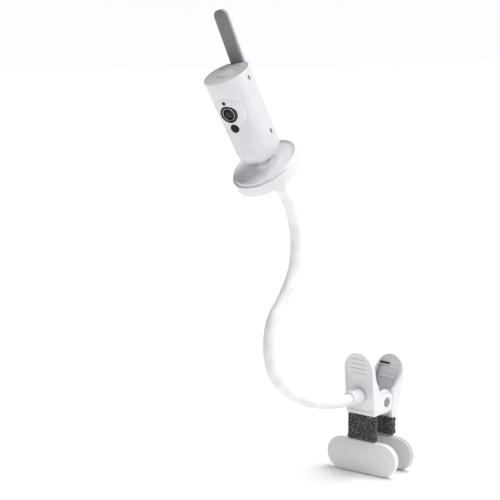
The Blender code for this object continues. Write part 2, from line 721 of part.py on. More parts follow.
base = empty("base_slide", Matrix.Identity(4), on_holder)
BALL = (0.0, 0.0, -BALL_DEPTH)
inner_radius = BASE_RADIUS - BASE_WALL
floor_z = -RIM_STEP
ceiling = floor_z - BASE_WALL - 0.0004
lip_top = BALL[2] + 0.0030
lip_radius = math.sqrt(BALL_RADIUS**2 - 0.0030**2) + GAP
collar_bore = BALL_RADIUS + GAP
shell_profile = [
    (lip_radius, lip_top),
    (COLLAR_RADIUS, lip_top),
    (COLLAR_RADIUS + 0.0007, floor_z - 0.0006),
    (BASE_RADIUS - RIM_WIDTH - 0.0004, floor_z),
    (BASE_RADIUS - RIM_WIDTH, 0.0),
    (BASE_RADIUS - 0.0004, 0.0),
    (BASE_RADIUS, -0.0005),
    (BASE_RADIUS, -BASE_HEIGHT),
    (inner_radius, -BASE_HEIGHT),
    (inner_radius, ceiling),
    (collar_bore, ceiling),
    (collar_bore, BALL[2]),
]
base_shell = add("base_shell", turned(shell_profile, 48), WHITE, base)
inlet_half = 0.0040
inlet_low, inlet_high = -0.0097, -0.0051
cut(
    base_shell,
    box(
        (-inlet_half - GAP, inner_radius - 0.0060, inlet_low - GAP),
        (inlet_half + GAP, BASE_RADIUS + 0.01, inlet_high + GAP),
    ),
)
inlet = add(
    "power_inlet",
    box((-inlet_half, BASE_RADIUS - INLET_DEPTH, inlet_low), (inlet_half, BASE_RADIUS - 0.0010, inlet_high)),
    DARK,
    base,
)
inlet_middle = (0.0, 0.0, (inlet_low + inlet_high) / 2)
inlet_hole = [
    (INLET_PIN, BASE_RADIUS - 0.0080),
    (INLET_BORE, BASE_RADIUS - 0.0080),
    (INLET_BORE, BASE_RADIUS + 0.0010),
    (INLET_PIN, BASE_RADIUS + 0.0010),
]
cut(inlet, turned(inlet_hole, 16, "Y", inlet_middle))

cover_top = -BASE_HEIGHT + COVER_THICKNESS
add("base_cover", cylinder(inner_radius - GAP, -BASE_HEIGHT, cover_top, steps=48), SOFT_WHITE, base)
foot_low = -BASE_HEIGHT - FOOT_THICKNESS
foot_top = -BASE_HEIGHT - FOOT_GLUE
foot_radius = BASE_RADIUS - FOOT_EDGE
foot_profile = [
    (foot_radius - FOOT_WIDTH, foot_low),
    (foot_radius, foot_low),
    (foot_radius, foot_top),
    (foot_radius - FOOT_WIDTH, foot_top),
]
add("base_foot_ring", turned(foot_profile, 40), RUBBER, base)
seat_outer = BALL_RADIUS + 0.0025
seat = BALL_RADIUS + GAP
cup_rim = ceiling - GAP
cup_low = cover_top + GAP
seat_profile = [(0.0, cup_low), (seat_outer, cup_low), (seat_outer, cup_rim)]
steepest = math.asin((BALL[2] - cup_rim) / seat)
for i in range(7):
    angle = steepest + (math.pi / 2 - steepest) * i / 6
    seat_profile.append((seat * math.cos(angle) if i < 6 else 0.0, BALL[2] - seat * math.sin(angle)))
add("ball_socket", turned(seat_profile, 24), DARK, base)
weight_outer = BASE_RADIUS - INLET_DEPTH - WEIGHT_CLEARANCE
weight_profile = [
    (WEIGHT_INNER, cup_low),
    (weight_outer, cup_low),
    (weight_outer, ceiling - GAP),
    (WEIGHT_INNER, ceiling - GAP),
]
add("base_weight", turned(weight_profile, 32), STEEL, base)

# ---------------------------------------------------------------- ball joint

tilt_axis = Vector((math.cos(BALL_TILT_AXIS), math.sin(BALL_TILT_AXIS), 0.0))
tilt = Matrix.Rotation(BALL_TILT, 4, tilt_axis)
ball = empty("ball_tilt", Matrix.Translation(BALL) @ tilt, base)
HEAD_LIFT = math.sqrt(BALL_RADIUS**2 - STUD_RADIUS**2) + HEAD_CLEARANCE
flange_low = HEAD_LIFT + HEAD_WALL + GAP
ball_profile = [(0.0, -BALL_RADIUS)]
neck_angle = math.degrees(math.acos(STUD_RADIUS / BALL_RADIUS))
ball_profile += arc((0.0, 0.0), BALL_RADIUS, -78, neck_angle, 10)
ball_profile += [
    (STUD_RADIUS, flange_low),
    (FLANGE_RADIUS, flange_low),
    (FLANGE_RADIUS, flange_low + FLANGE),
    (0.0, flange_low + FLANGE),
]
add("ball_stud", turned(ball_profile, 24), GREY, ball)

# ---------------------------------------------------------------- head

head = empty("head_swivel", Matrix.Rotation(HEAD_TURN, 4, "Z"), ball)
TOP = HEAD_LIFT + HEAD_LENGTH


def wall_profile(inset, top):
    """(radius, height) points up the housing's wall from its underside, moved inwards by an inset."""
    centre = (HEAD_LOW_RADIUS - HEAD_FILLET, HEAD_LIFT + HEAD_FILLET)
    points = arc(centre, HEAD_FILLET - inset, -90, 0, 7)
    points[-1] = (HEAD_LOW_RADIUS - inset, centre[1])
    points.append((radius_at(top) - inset, top))
    return points


def radius_at(z):
    """The housing's radius at a height."""
    low = HEAD_LIFT + HEAD_FILLET
    return HEAD_LOW_RADIUS + (HEAD_TOP_RADIUS - HEAD_LOW_RADIUS) * (z - low) / (TOP - low)


cap_top = TOP - CAP_SINK
ledge = cap_top - CAP_THICKNESS - GAP
cap_radius = radius_at(TOP) - HEAD_RIM
housing_profile = [(STUD_RADIUS + GAP, HEAD_LIFT)]
housing_profile += wall_profile(0.0, TOP - 0.0004)
housing_profile += [
    (radius_at(TOP) - 0.0004, TOP),
    (cap_radius + GAP, TOP),
    (cap_radius + GAP, ledge),
]
housing_profile += wall_profile(HEAD_WALL, ledge)[::-1]
housing_profile += [(STUD_RADIUS + GAP, HEAD_LIFT + HEAD_WALL)]
housing = add("housing", turned(housing_profile, 40), WHITE, head)

lens_z = TOP - LENS_DROP
windows = ((LENS_RADIUS, lens_z), (IR_RADIUS, TOP - IR_DROP), (SENSOR_RADIUS, TOP - SENSOR_DROP))
for radius, z in windows:
    cut(housing, cylinder(radius + GAP, -LONG, -0.0100, "Y", (0.0, 0.0, z), 24 if radius > 0.002 else 10))
for drop in VENT_DROPS:
    z = TOP - drop
    half = (VENT_SIZE[0] / 2, VENT_SIZE[1] / 2)
    cut(housing, box((-LONG, -half[0], z - half[1]), (LONG, half[0], z + half[1])))

hinge = Vector((0.0, HINGE_OUT, TOP - HINGE_DROP))
barrel_radius = ANTENNA_THICKNESS / 2
pocket_half = ANTENNA_WIDTH / 2 + GAP
pocket_floor = HINGE_OUT - barrel_radius - 2 * GAP
pocket_low = TOP - POCKET_DROP
back = box(
    (-pocket_half - LUG_WIDTH, pocket_floor - 0.0020, pocket_low - 0.0020),
    (pocket_half + LUG_WIDTH, pocket_floor + 0.0010, ledge - 0.0004),
)
join(housing, back)
lug_side = arc((hinge.y, hinge.z), barrel_radius, -90, 90, 8)
lug_root = pocket_floor - 0.0010
lug_side += [(lug_root, hinge.z + barrel_radius), (lug_root, hinge.z - barrel_radius)]
join(housing, prism(lug_side, -pocket_half - LUG_WIDTH, pocket_half + LUG_WIDTH, "X"))
cut(housing, box((-pocket_half, pocket_floor, pocket_low), (pocket_half, LONG, TOP + 0.01)))
pin_hole = pocket_half + LUG_WIDTH - LUG_SKIN
cut(housing, cylinder(HINGE_PIN_RADIUS + GAP / 2, -pin_hole, pin_hole, "X", hinge, 12))
for side in (-1, 1):
    place = (side * REAR_BUTTON_SPREAD, 0.0, TOP - REAR_BUTTON_DROP)
    cut(housing, cylinder(REAR_BUTTON_RADIUS + GAP, 0.0150, LONG, "Y", place, 16))

add(
    "antenna_pin",
    cylinder(HINGE_PIN_RADIUS, GAP - pin_hole, pin_hole - GAP, "X", hinge, 12),
    STEEL,
    head,
    tuple(hinge),
)

# Cap on the housing, with a round button in its middle
cap = add("top_cap", cylinder(cap_radius, cap_top - CAP_THICKNESS, cap_top, steps=40), GREY, head)
cut(cap, cylinder(BUTTON_RADIUS + GAP, 0.0, LONG, steps=28))
cut(cap, box((-pocket_half - GAP, pocket_floor - GAP, 0.0), (pocket_half + GAP, LONG, LONG)))
lug_room = barrel_radius + GAP
cut(
    cap,
    box(
        (-pocket_half - LUG_WIDTH - GAP, lug_root - GAP, 0.0),
        (pocket_half + LUG_WIDTH + GAP, LONG, hinge.z + lug_room),
    ),
)
button_origin = (0.0, 0.0, cap_top)
button_profile = [
    (0.0, cap_top - CAP_THICKNESS - 0.0012),
    (BUTTON_RADIUS + 0.0012, cap_top - CAP_THICKNESS - 0.0012),
    (BUTTON_RADIUS + 0.0012, cap_top - CAP_THICKNESS - GAP),
    (BUTTON_RADIUS, cap_top - CAP_THICKNESS - GAP),
    (BUTTON_RADIUS, cap_top - 0.0001),
    (BUTTON_RADIUS - 0.0006, cap_top + 0.0003),
    (0.0, cap_top + 0.0003),
]
add("top_button", turned(button_profile, 28), GREY, head, button_origin)

def facing(profile, steps, z):
    """A profile turned about an axis along Y, for what sits in the housing's face."""
    return turned(profile, steps, "Y", (0.0, 0.0, z))


lens_face = -radius_at(lens_z) - 0.0003
bezel_profile = [
    (GLASS_RADIUS, lens_face + 0.0016),
    (LENS_RADIUS - 0.0012, lens_face),
    (LENS_RADIUS, lens_face + 0.0004),
    (LENS_RADIUS, lens_face + 0.0040),
    (GLASS_RADIUS, lens_face + 0.0040),
]
add("lens_bezel", facing(bezel_profile, 28, lens_z), DARK, head)
glass_profile = [(0.0, lens_face + 0.0002)]
glass_profile += [
    (GLASS_RADIUS * 0.5 - GAP, lens_face + 0.0005),
    (GLASS_RADIUS * 0.85 - GAP, lens_face + 0.0012),
    (GLASS_RADIUS - GAP, lens_face + 0.0019),
    (GLASS_RADIUS - GAP, lens_face + 0.0030),
    (0.0, lens_face + 0.0030),
]
add("lens_glass", facing(glass_profile, 24, lens_z), GLASS, head)
barrel_front = lens_face + 0.0040 + GAP
board_y = barrel_front + LENS_BARREL
barrel_profile = [
    (0.0, barrel_front),
    (LENS_RADIUS - 0.0020, barrel_front),
    (LENS_RADIUS - 0.0020, barrel_front + 0.0030),
    (GLASS_RADIUS, barrel_front + 0.0030),
    (GLASS_RADIUS, board_y - GAP),
    (0.0, board_y - GAP),
]
add("lens_barrel", facing(barrel_profile, 20, lens_z), DARK, head)
for name, radius, z, steps in (
    ("ir_window", IR_RADIUS, TOP - IR_DROP, 20),
    ("light_sensor", SENSOR_RADIUS, TOP - SENSOR_DROP, 10),
):
    face = -radius_at(z) - 0.0001
    back_face = face + WINDOW_THICKNESS
    profile = [(0.0, face), (radius, face), (radius, back_face), (0.0, back_face)]
    add(name, facing(profile, steps, z), GLASS, head)
ir_z = TOP - IR_DROP
lamp_back = board_y - GAP
lamp = [(0.0, lamp_back - LAMP_LENGTH)]
lamp += [(LAMP_RADIUS * 0.8, lamp_back - LAMP_LENGTH + 0.0010)]
lamp += [(LAMP_RADIUS, lamp_back - LAMP_LENGTH + 0.0025)]
lamp += [(LAMP_RADIUS, lamp_back), (0.0, lamp_back)]
add("ir_lamp", facing(lamp, 12, ir_z), GLASS, head)

# Boards, speaker and microphone inside
board_back = board_y + BOARD_THICKNESS
half_board = SENSOR_BOARD_WIDTH / 2
sensor_board = box((-half_board, board_y, ir_z - BOARD_MARGIN), (half_board, board_back, lens_z + half_board))
add("sensor_board", sensor_board, BOARD, head)
main_y = board_back + BOARD_SPACING
half_board = MAIN_BOARD_WIDTH / 2
main_low, main_high = HEAD_LIFT + 0.0180, ledge - 0.0040
main_board = box((-half_board, main_y, main_low), (half_board, main_y + BOARD_THICKNESS, main_high))
add("main_board", main_board, BOARD, head)
speaker_z = HEAD_LIFT + 0.0330
speaker_y = main_y + BOARD_THICKNESS + GAP
speaker_profile = [
    (0.0, speaker_y),
    (SPEAKER_RADIUS * 0.6, speaker_y),
    (SPEAKER_RADIUS * 0.6, speaker_y + 0.0040),
    (SPEAKER_RADIUS, speaker_y + 0.0050),
    (SPEAKER_RADIUS, speaker_y + 0.0080),
    (0.0, speaker_y + 0.0080),
]
add("speaker", facing(speaker_profile, 20, speaker_z), DARK, head)
microphone_place = (MICROPHONE_OUT, 0.0, lens_z)
microphone = cylinder(MICROPHONE_RADIUS, main_y - GAP - 0.0040, main_y - GAP, "Y", microphone_place, 12)
add("microphone", microphone, STEEL, head)

# Ring that holds the stud's flange in the housing and lets the head turn on it
keeper_low = HEAD_LIFT + HEAD_WALL + GAP
keeper_step = flange_low + FLANGE + GAP
keeper_profile = [
    (FLANGE_RADIUS + GAP, keeper_low),
    (FLANGE_RADIUS + KEEPER_WALL, keeper_low),
    (FLANGE_RADIUS + KEEPER_WALL, keeper_step + KEEPER_WALL),
    (STUD_RADIUS, keeper_step + KEEPER_WALL),
    (STUD_RADIUS, keeper_step),
    (FLANGE_RADIUS + GAP, keeper_step),
]
add("swivel_keeper", turned(keeper_profile, 24), STEEL, head)

# Buttons at the back, each with a flange behind the wall
for name, side in (("power_button", -1), ("pairing_button", 1)):
    x, z = side * REAR_BUTTON_SPREAD, TOP - REAR_BUTTON_DROP
    outer = math.sqrt(radius_at(z) ** 2 - x**2) + 0.0004
    flange = REAR_BUTTON_RADIUS + 0.0008
    inner = math.sqrt((radius_at(z) - HEAD_WALL) ** 2 - (abs(x) + flange) ** 2) - GAP
    profile = [
        (0.0, inner - 0.0010),
        (flange, inner - 0.0010),
        (flange, inner),
        (REAR_BUTTON_RADIUS, inner),
        (REAR_BUTTON_RADIUS, outer - 0.0004),
        (REAR_BUTTON_RADIUS - 0.0005, outer),
        (0.0, outer),
    ]
    add(name, turned(profile, 16, "Y", (x, 0.0, z)), GREY, head, (x, outer, z))

# Antenna: a blade with a barrel at its foot
leaning = Matrix.Rotation(-ANTENNA_LEAN, 4, "X")
antenna_hinge = empty("antenna_hinge", Matrix.Translation(hinge) @ leaning, head)
half_width, half_thickness = ANTENNA_WIDTH / 2, ANTENNA_THICKNESS / 2


def blade_ring(z, inset):
    """A rounded rectangle across the blade at a height, made smaller all round."""
    wide, thick = half_width - inset, half_thickness - inset
    corner = min(thick - 0.0002, 0.0022)
    corners = ((wide - corner, thick - corner, 0), (corner - wide, thick - corner, 90))
    corners += ((corner - wide, corner - thick, 180), (wide - corner, corner - thick, 270))
    points = [point for x, y, turn in corners for point in arc((x, y), corner, turn, turn + 90, 3)]
    return [(x, y, z) for x, y in points]


tip_arc = 0.0060
blade = [blade_ring(half_thickness * 0.2, 0.0), blade_ring(ANTENNA_LENGTH - tip_arc, 0.0)]
for i in range(1, 5):
    angle = math.radians(80) * i / 4
    wide = half_width - tip_arc * (1 - math.cos(angle))
    ring_points = blade_ring(ANTENNA_LENGTH - tip_arc + tip_arc * math.sin(angle), 0.0)
    blade.append([(x * wide / half_width, y * (1 - 0.12 * i), z) for x, y, z in ring_points])
antenna = add("antenna", layered(blade), GREY, antenna_hinge)
join(antenna, cylinder(half_thickness, -half_width, half_width, "X", steps=20))
cut(antenna, cylinder(HINGE_PIN_RADIUS + 0.00008, -LONG, LONG, "X", steps=12))
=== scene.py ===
"""A baby monitor camera on a bending arm with a spring clip: its finish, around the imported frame."""
import json
import math

import bmesh
import bpy
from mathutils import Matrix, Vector
from mathutils.geometry import interpolate_bezier


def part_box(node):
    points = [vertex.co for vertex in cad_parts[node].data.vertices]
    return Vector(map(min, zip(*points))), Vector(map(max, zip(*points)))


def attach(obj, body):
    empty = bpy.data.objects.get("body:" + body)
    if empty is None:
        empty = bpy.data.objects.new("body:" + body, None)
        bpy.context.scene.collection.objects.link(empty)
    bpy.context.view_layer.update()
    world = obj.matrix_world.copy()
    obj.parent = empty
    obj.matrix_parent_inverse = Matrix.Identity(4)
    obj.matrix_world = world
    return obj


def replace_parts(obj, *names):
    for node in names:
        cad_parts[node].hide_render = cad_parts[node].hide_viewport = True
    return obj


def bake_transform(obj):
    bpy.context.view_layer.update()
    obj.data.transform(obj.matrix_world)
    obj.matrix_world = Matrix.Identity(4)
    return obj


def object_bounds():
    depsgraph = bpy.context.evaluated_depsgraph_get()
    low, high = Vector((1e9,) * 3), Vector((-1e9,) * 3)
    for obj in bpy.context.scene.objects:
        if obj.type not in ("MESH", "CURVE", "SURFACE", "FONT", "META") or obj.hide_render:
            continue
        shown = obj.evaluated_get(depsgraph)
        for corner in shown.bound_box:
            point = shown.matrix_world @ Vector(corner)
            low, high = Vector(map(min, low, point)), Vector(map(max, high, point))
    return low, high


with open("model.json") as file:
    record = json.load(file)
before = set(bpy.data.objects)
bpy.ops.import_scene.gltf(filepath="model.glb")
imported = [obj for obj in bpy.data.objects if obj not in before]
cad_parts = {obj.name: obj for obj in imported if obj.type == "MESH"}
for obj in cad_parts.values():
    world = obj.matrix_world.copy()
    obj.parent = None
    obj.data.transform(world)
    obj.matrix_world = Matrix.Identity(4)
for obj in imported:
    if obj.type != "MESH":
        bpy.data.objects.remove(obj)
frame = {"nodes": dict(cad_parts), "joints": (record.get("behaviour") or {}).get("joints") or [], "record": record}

frame_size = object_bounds()
MM = 0.001

# ------------------------------------------------------------------ clip shells
# Two handles with their jaw necks, each moulded in one piece of white ABS. The mould was
# spark-eroded, which leaves a fine satin grain, and every edge has the mould's small radius.
# A shallow panel is sunk into each handle's outer face.

# y, z low and high on each handle's outer face
FRONT_FACE = ((-9.4 * MM, 45.0 * MM), (-15.0 * MM, 110.0 * MM))
REAR_FACE = ((31.2 * MM, 36.5 * MM), (48.5 * MM, 95.3 * MM))
HANDLE_ARCH = 19.0 * MM
SHELL_WALL = 2.2 * MM
NOISE_LOW, NOISE_HIGH = 0.3, 0.7      # the span that a noise texture mostly stays in
SPECK_SHARE = 0.25                    # of the fine grain in a material's tone


def colour(code):
    """An sRGB hex code as a linear colour."""
    parts = [int(code[i:i + 2], 16) / 255 for i in (1, 3, 5)]
    return (*[p / 12.92 if p <= 0.04045 else ((p + 0.055) / 1.055) ** 2.4 for p in parts], 1.0)


def add_node(tree, kind, inputs=None, **settings):
    """A node with its settings, and its inputs given as values or as the sockets to link from."""
    made = tree.nodes.new(kind)
    for name, value in settings.items():
        setattr(made, name, value)
    for name, value in (inputs or {}).items():
        if isinstance(value, bpy.types.NodeSocket):
            tree.links.new(value, made.inputs[name])
        else:
            made.inputs[name].default_value = value
    return made


def grained(name, light, dark, roughness, grain, depth,
            patch=25 * MM, metallic=0.0, spread=0.06, **sockets):
    """A material with a fine grain of a given size and height, and slow drifts of tone and gloss."""
    made = bpy.data.materials.new(name)
    made.use_nodes = True
    tree = made.node_tree
    shader = tree.nodes["Principled BSDF"]
    shader.inputs["Metallic"].default_value = metallic
    for socket, value in sockets.items():
        shader.inputs[socket.replace("_", " ")].default_value = value
    place = add_node(tree, "ShaderNodeTexCoord").outputs["Object"]
    drift = add_node(tree, "ShaderNodeTexNoise", {"Vector": place, "Scale": 1 / patch, "Detail": 3.0})
    fine = add_node(tree, "ShaderNodeTexNoise", {"Vector": place, "Scale": 1 / grain, "Detail": 4.0})
    spans = {"From Min": NOISE_LOW, "From Max": NOISE_HIGH}
    tone = add_node(tree, "ShaderNodeMapRange", {"Value": drift.outputs["Fac"], **spans})
    speck = add_node(tree, "ShaderNodeMath", {0: fine.outputs["Fac"], 1: SPECK_SHARE}, operation="MULTIPLY")
    summed = {0: tone.outputs["Result"], 1: speck.outputs[0]}
    blend = add_node(tree, "ShaderNodeMath", summed, operation="ADD")
    mix = add_node(tree, "ShaderNodeMix", {"Factor": blend.outputs[0]}, data_type="RGBA")
    mix.inputs[6].default_value = colour(dark)
    mix.inputs[7].default_value = colour(light)
    tree.links.new(mix.outputs[2], shader.inputs["Base Color"])
    gloss = add_node(tree, "ShaderNodeMapRange", {"Value": fine.outputs["Fac"], **spans})
    gloss.inputs["To Min"].default_value = roughness - spread
    gloss.inputs["To Max"].default_value = roughness + spread
    tree.links.new(gloss.outputs["Result"], shader.inputs["Roughness"])
    raised = {"Height": fine.outputs["Fac"], "Distance": depth, "Strength": 1.0}
    bump = add_node(tree, "ShaderNodeBump", raised)
    tree.links.new(bump.outputs["Normal"], shader.inputs["Normal"])
    return made


def new_piece(name, mesh, finish, body, smooth=35):
    """A finished mesh as a piece with its material, riding on a body."""
    made = bpy.data.objects.new(name, mesh)
    bpy.context.scene.collection.objects.link(made)
    mesh.materials.clear()
    mesh.materials.append(finish)
    mesh.shade_smooth()
    mesh.set_sharp_from_angle(angle=math.radians(smooth))
    if body:
        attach(made, body)
    return made


def settled(piece):
    """The piece with its modifiers worked into its mesh."""
    graph = bpy.context.evaluated_depsgraph_get()
    mesh = bpy.data.meshes.new_from_object(piece.evaluated_get(graph), depsgraph=graph)
    piece.modifiers.clear()
    piece.data = mesh
    return piece


def body_of_node(node):
    return next(body for body, nodes in frame["record"]["behaviour"]["bodies"].items() if node in nodes)


def welded(node, merge=0.002 * MM, flat=math.radians(1.0)):
    """A copy of a CAD node's mesh as one skin of flat faces."""
    shape = bmesh.new()
    shape.from_mesh(frame["nodes"][node].data)
    bmesh.ops.remove_doubles(shape, verts=shape.verts, dist=merge)
    bmesh.ops.dissolve_limit(shape, angle_limit=flat, verts=shape.verts, edges=shape.edges)
    return shape


def mesh_of(name, shape):
    """A bmesh as a mesh, with its faces turned outwards."""
    bmesh.ops.recalc_face_normals(shape, faces=shape.faces)
    mesh = bpy.data.meshes.new(name)
    shape.to_mesh(mesh)
    shape.free()
    return mesh


def round_edges(piece, edge, smooth, segments=2):
    """Rounds a piece's edges that are sharper than an angle in degrees."""
    rounding = piece.modifiers.new("edges", "BEVEL")
    rounding.width = edge
    rounding.segments = segments
    rounding.limit_method = "ANGLE"
    rounding.angle_limit = math.radians(smooth)
    rounding.harden_normals = True
    return settled(piece)


def moulded(node, finish, edge=0.35 * MM, smooth=40, segments=2, cutters=()):
    """A CAD node's own shape, with hollows cut into it and its edges rounded as a mould leaves them."""
    name = f"moulded_{node}"
    made = new_piece(name, mesh_of(name, welded(node)), finish, body_of_node(node), smooth)
    tools = []
    for shape in cutters:
        tool = bpy.data.objects.new(f"{name}_cutter", mesh_of(f"{name}_cutter", shape))
        bpy.context.scene.collection.objects.link(tool)
        step = made.modifiers.new("hollow", "BOOLEAN")
        step.object = tool
        step.operation = "DIFFERENCE"
        step.solver = "EXACT"
        tools.append(tool)
    round_edges(made, edge, smooth, segments)
    for tool in tools:
        bpy.data.objects.remove(tool, do_unlink=True)
    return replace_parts(made, node)


def on_face(face, z):
    """y of a handle's outer face at a height."""
    (low_y, low_z), (high_y, high_z) = face
    return low_y + (high_y - low_y) * (z - low_z) / (high_z - low_z)


def handle_outline(face, half, margin, low, steps=20):
    """(x, z) points round a handle's face, a margin inside its edge, from a height up."""
    wide = half - margin
    arch = HANDLE_ARCH - margin
    start = face[1][1] - margin - arch
    turns = [math.pi * i / steps for i in range(steps + 1)]
    return [(wide, low)] + [(wide * math.cos(a), start + arch * math.sin(a)) for a in turns] + [(-wide, low)]


def slab_on(outline, face, outer, inner):
    """A flat slab of an outline that follows a handle's face, between two depths from it."""
    shape = bmesh.new()
    layers = []
    for depth in (outer, inner):
        layers.append([shape.verts.new((x, on_face(face, z) + depth, z)) for x, z in outline])
    for i in range(len(outline)):
        j = (i + 1) % len(outline)
        shape.faces.new((layers[0][i], layers[0][j], layers[1][j], layers[1][i]))
    shape.faces.new(layers[0][::-1])
    shape.faces.new(layers[1])
    return shape


HANDLE_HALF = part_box("front_clip_shell")[1].x
PANEL_MARGIN = 2.7 * MM
PANEL_DEPTH = 0.8 * MM
CUTTER_REACH = 3.0 * MM       # how far a cutter stands out of the face that it cuts
white_abs = grained("satin_moulded_white_abs", "#e9e9ec", "#e0e0e4", 0.42, 0.45 * MM, 0.004 * MM, IOR=1.53)
for side, face, panel_bottom, outward in (
    ("front", FRONT_FACE, 48.6 * MM, -1),
    ("rear", REAR_FACE, 46.0 * MM, 1),
):
    panel = handle_outline(face, HANDLE_HALF, PANEL_MARGIN, panel_bottom)
    moulded(f"{side}_clip_shell", white_abs, edge=0.6 * MM, segments=3,
            cutters=[slab_on(panel, face, outward * CUTTER_REACH, -outward * PANEL_DEPTH)])

# ------------------------------------------------------------------ grip ribs
# Four low ribs across the top of each handle, for the thumb in front and the fingers behind. They
# are part of the white ABS shells, which is why they have the same grain, and their ends are round.


def geometry_tree(name, inputs):
    """A Geometry Nodes tree with named inputs, given as name: (kind, value), and their sockets."""
    tree = bpy.data.node_groups.new(name, "GeometryNodeTree")
    tree.interface.new_socket("Geometry", in_out="OUTPUT", socket_type="NodeSocketGeometry")
    for label, (kind, value) in inputs.items():
        socket = tree.interface.new_socket(label, in_out="INPUT", socket_type=kind)
        if value is not None:
            socket.default_value = value
    return tree, add_node(tree, "NodeGroupInput").outputs


def finish_tree(tree, geometry, finish):
    """Ends a tree in Realize Instances and Set Material."""
    real = add_node(tree, "GeometryNodeRealizeInstances", {"Geometry": geometry})
    painted = add_node(tree, "GeometryNodeSetMaterial", {"Geometry": real.outputs[0], "Material": finish})
    add_node(tree, "NodeGroupOutput", {"Geometry": painted.outputs[0]})


def grown(name, tree, mesh=None, **values):
    """The plain mesh that a tree makes from a mesh, with its inputs set by their identifiers."""
    host = bpy.data.objects.new(f"{name}_host", mesh or bpy.data.meshes.new(f"{name}_host"))
    bpy.context.scene.collection.objects.link(host)
    step = host.modifiers.new("nodes", "NODES")
    step.node_group = tree
    for item in tree.interface.items_tree:
        label = item.name.replace(" ", "_").lower()
        if item.in_out == "INPUT" and label in values:
            step[item.identifier] = values[label]
    graph = bpy.context.evaluated_depsgraph_get()
    made = bpy.data.meshes.new_from_object(host.evaluated_get(graph), depsgraph=graph)
    made.name = name
    bpy.data.objects.remove(host, do_unlink=True)
    return made


def rib_tree(name, finish):
    """Round-ended bars in a row: a swept line with a ball at each end, put on a line of points."""
    tree, given = geometry_tree(name, {
        "Count": ("NodeSocketInt", 4),
        "First": ("NodeSocketVector", (0.0, 0.0, 0.0)),
        "Step": ("NodeSocketVector", (0.0, 0.0, 0.0)),
        "Bar": ("NodeSocketVector", (0.0, 0.0, 0.0)),
        "Radius": ("NodeSocketFloat", 0.5 * MM),
    })
    back = add_node(tree, "ShaderNodeVectorMath", {0: given["Bar"], "Scale": -1.0}, operation="SCALE")
    line = add_node(tree, "GeometryNodeCurvePrimitiveLine", {"Start": back.outputs[0], "End": given["Bar"]})
    ring = add_node(tree, "GeometryNodeCurvePrimitiveCircle", {"Resolution": 12, "Radius": given["Radius"]})
    swept = {"Curve": line.outputs[0], "Profile Curve": ring.outputs[0]}
    bar = add_node(tree, "GeometryNodeCurveToMesh", swept)
    ball_size = {"Segments": 12, "Rings": 8, "Radius": given["Radius"]}
    ball = add_node(tree, "GeometryNodeMeshUVSphere", ball_size)
    on_ends = {"Points": line.outputs[0], "Instance": ball.outputs[0]}
    ends = add_node(tree, "GeometryNodeInstanceOnPoints", on_ends)
    whole = add_node(tree, "GeometryNodeJoinGeometry")
    tree.links.new(bar.outputs[0], whole.inputs[0])
    tree.links.new(ends.outputs[0], whole.inputs[0])
    row = add_node(tree, "GeometryNodeMeshLine", {"Count": given["Count"], "Start Location": given["First"]})
    tree.links.new(given["Step"], row.inputs["Offset"])
    on_row = {"Points": row.outputs[0], "Instance": whole.outputs[0]}
    ribs = add_node(tree, "GeometryNodeInstanceOnPoints", on_row)
    finish_tree(tree, ribs.outputs[0], finish)
    return tree


RIB_RADIUS = 0.75 * MM
RIB_COUNT = 4
RIB_SHIFT = 0.1 * MM          # of a rib's middle line from its face
ribs_in_abs = rib_tree("grip_ribs", white_abs)
for name, face, body, depth, top, pitch, half in (
    ("front_grip_ribs", FRONT_FACE, "clip_front", PANEL_DEPTH + RIB_SHIFT, 102.5 * MM, 4.9 * MM, 8.6 * MM),
    ("rear_grip_ribs", REAR_FACE, "clip_rear", -SHELL_WALL + RIB_SHIFT, 86.6 * MM, 4.7 * MM, 8.8 * MM),
):
    first = Vector((0.0, on_face(face, top) + depth, top))
    step = Vector((0.0, on_face(face, top - pitch) - on_face(face, top), -pitch))
    mesh = grown(name, ribs_in_abs, count=RIB_COUNT, first=first, step=step,
                 bar=Vector((half, 0.0, 0.0)), radius=RIB_RADIUS)
    new_piece(name, mesh, white_abs, body)

# ------------------------------------------------------------------ pin and cap
# A turned steel pin, zinc plated, with a flat head on the right and a pressed cap on the left.
# Turning leaves fine rings that dull the plating to a soft mid grey.
plated_steel = grained("zinc_plated_turned_steel", "#a2a3a6", "#86878b", 0.46, 0.30 * MM, 0.006 * MM,
                       patch=3 * MM, metallic=1.0, spread=0.10)
moulded("pivot_pin", plated_steel, edge=0.25 * MM)
moulded("pivot_pin_cap", plated_steel, edge=0.25 * MM)

# ------------------------------------------------------------------ torsion spring
# Bright hard-drawn spring wire, wound round the pin. One arm presses on the front handle, and the
# other runs up inside the rear handle and ends in a bar bent across it, in a black vinyl sleeve.

WIRE_RADIUS = 0.75 * MM
COIL_RADIUS = 5.2 * MM
COIL_TURNS = 5
COIL_HALF_LENGTH = 6.5 * MM
COIL_STEPS = 20               # points in one turn
WIRE_GAP = 0.6 * MM           # between the wire and a handle's wall
STAND_OFF = SHELL_WALL + WIRE_RADIUS + WIRE_GAP       # of the wire from a handle's outer face
FRONT_ARM = (26.0, 14.0)      # mm above the pin, down the front handle
REAR_ARM = (                  # mm towards -x and above the pin, up the rear handle
    (7.8, 6.0),
    (10.8, 12.0),
    (12.0, 18.0),
    (11.7, 24.0),
    (10.2, 28.8),
    (8.6, 30.4),
    (1.5, 31.4),
)
joints = {joint["name"]: joint for joint in frame["joints"]}
PIN = Vector(joints["rear_jaw_pivot"]["pos_m"])


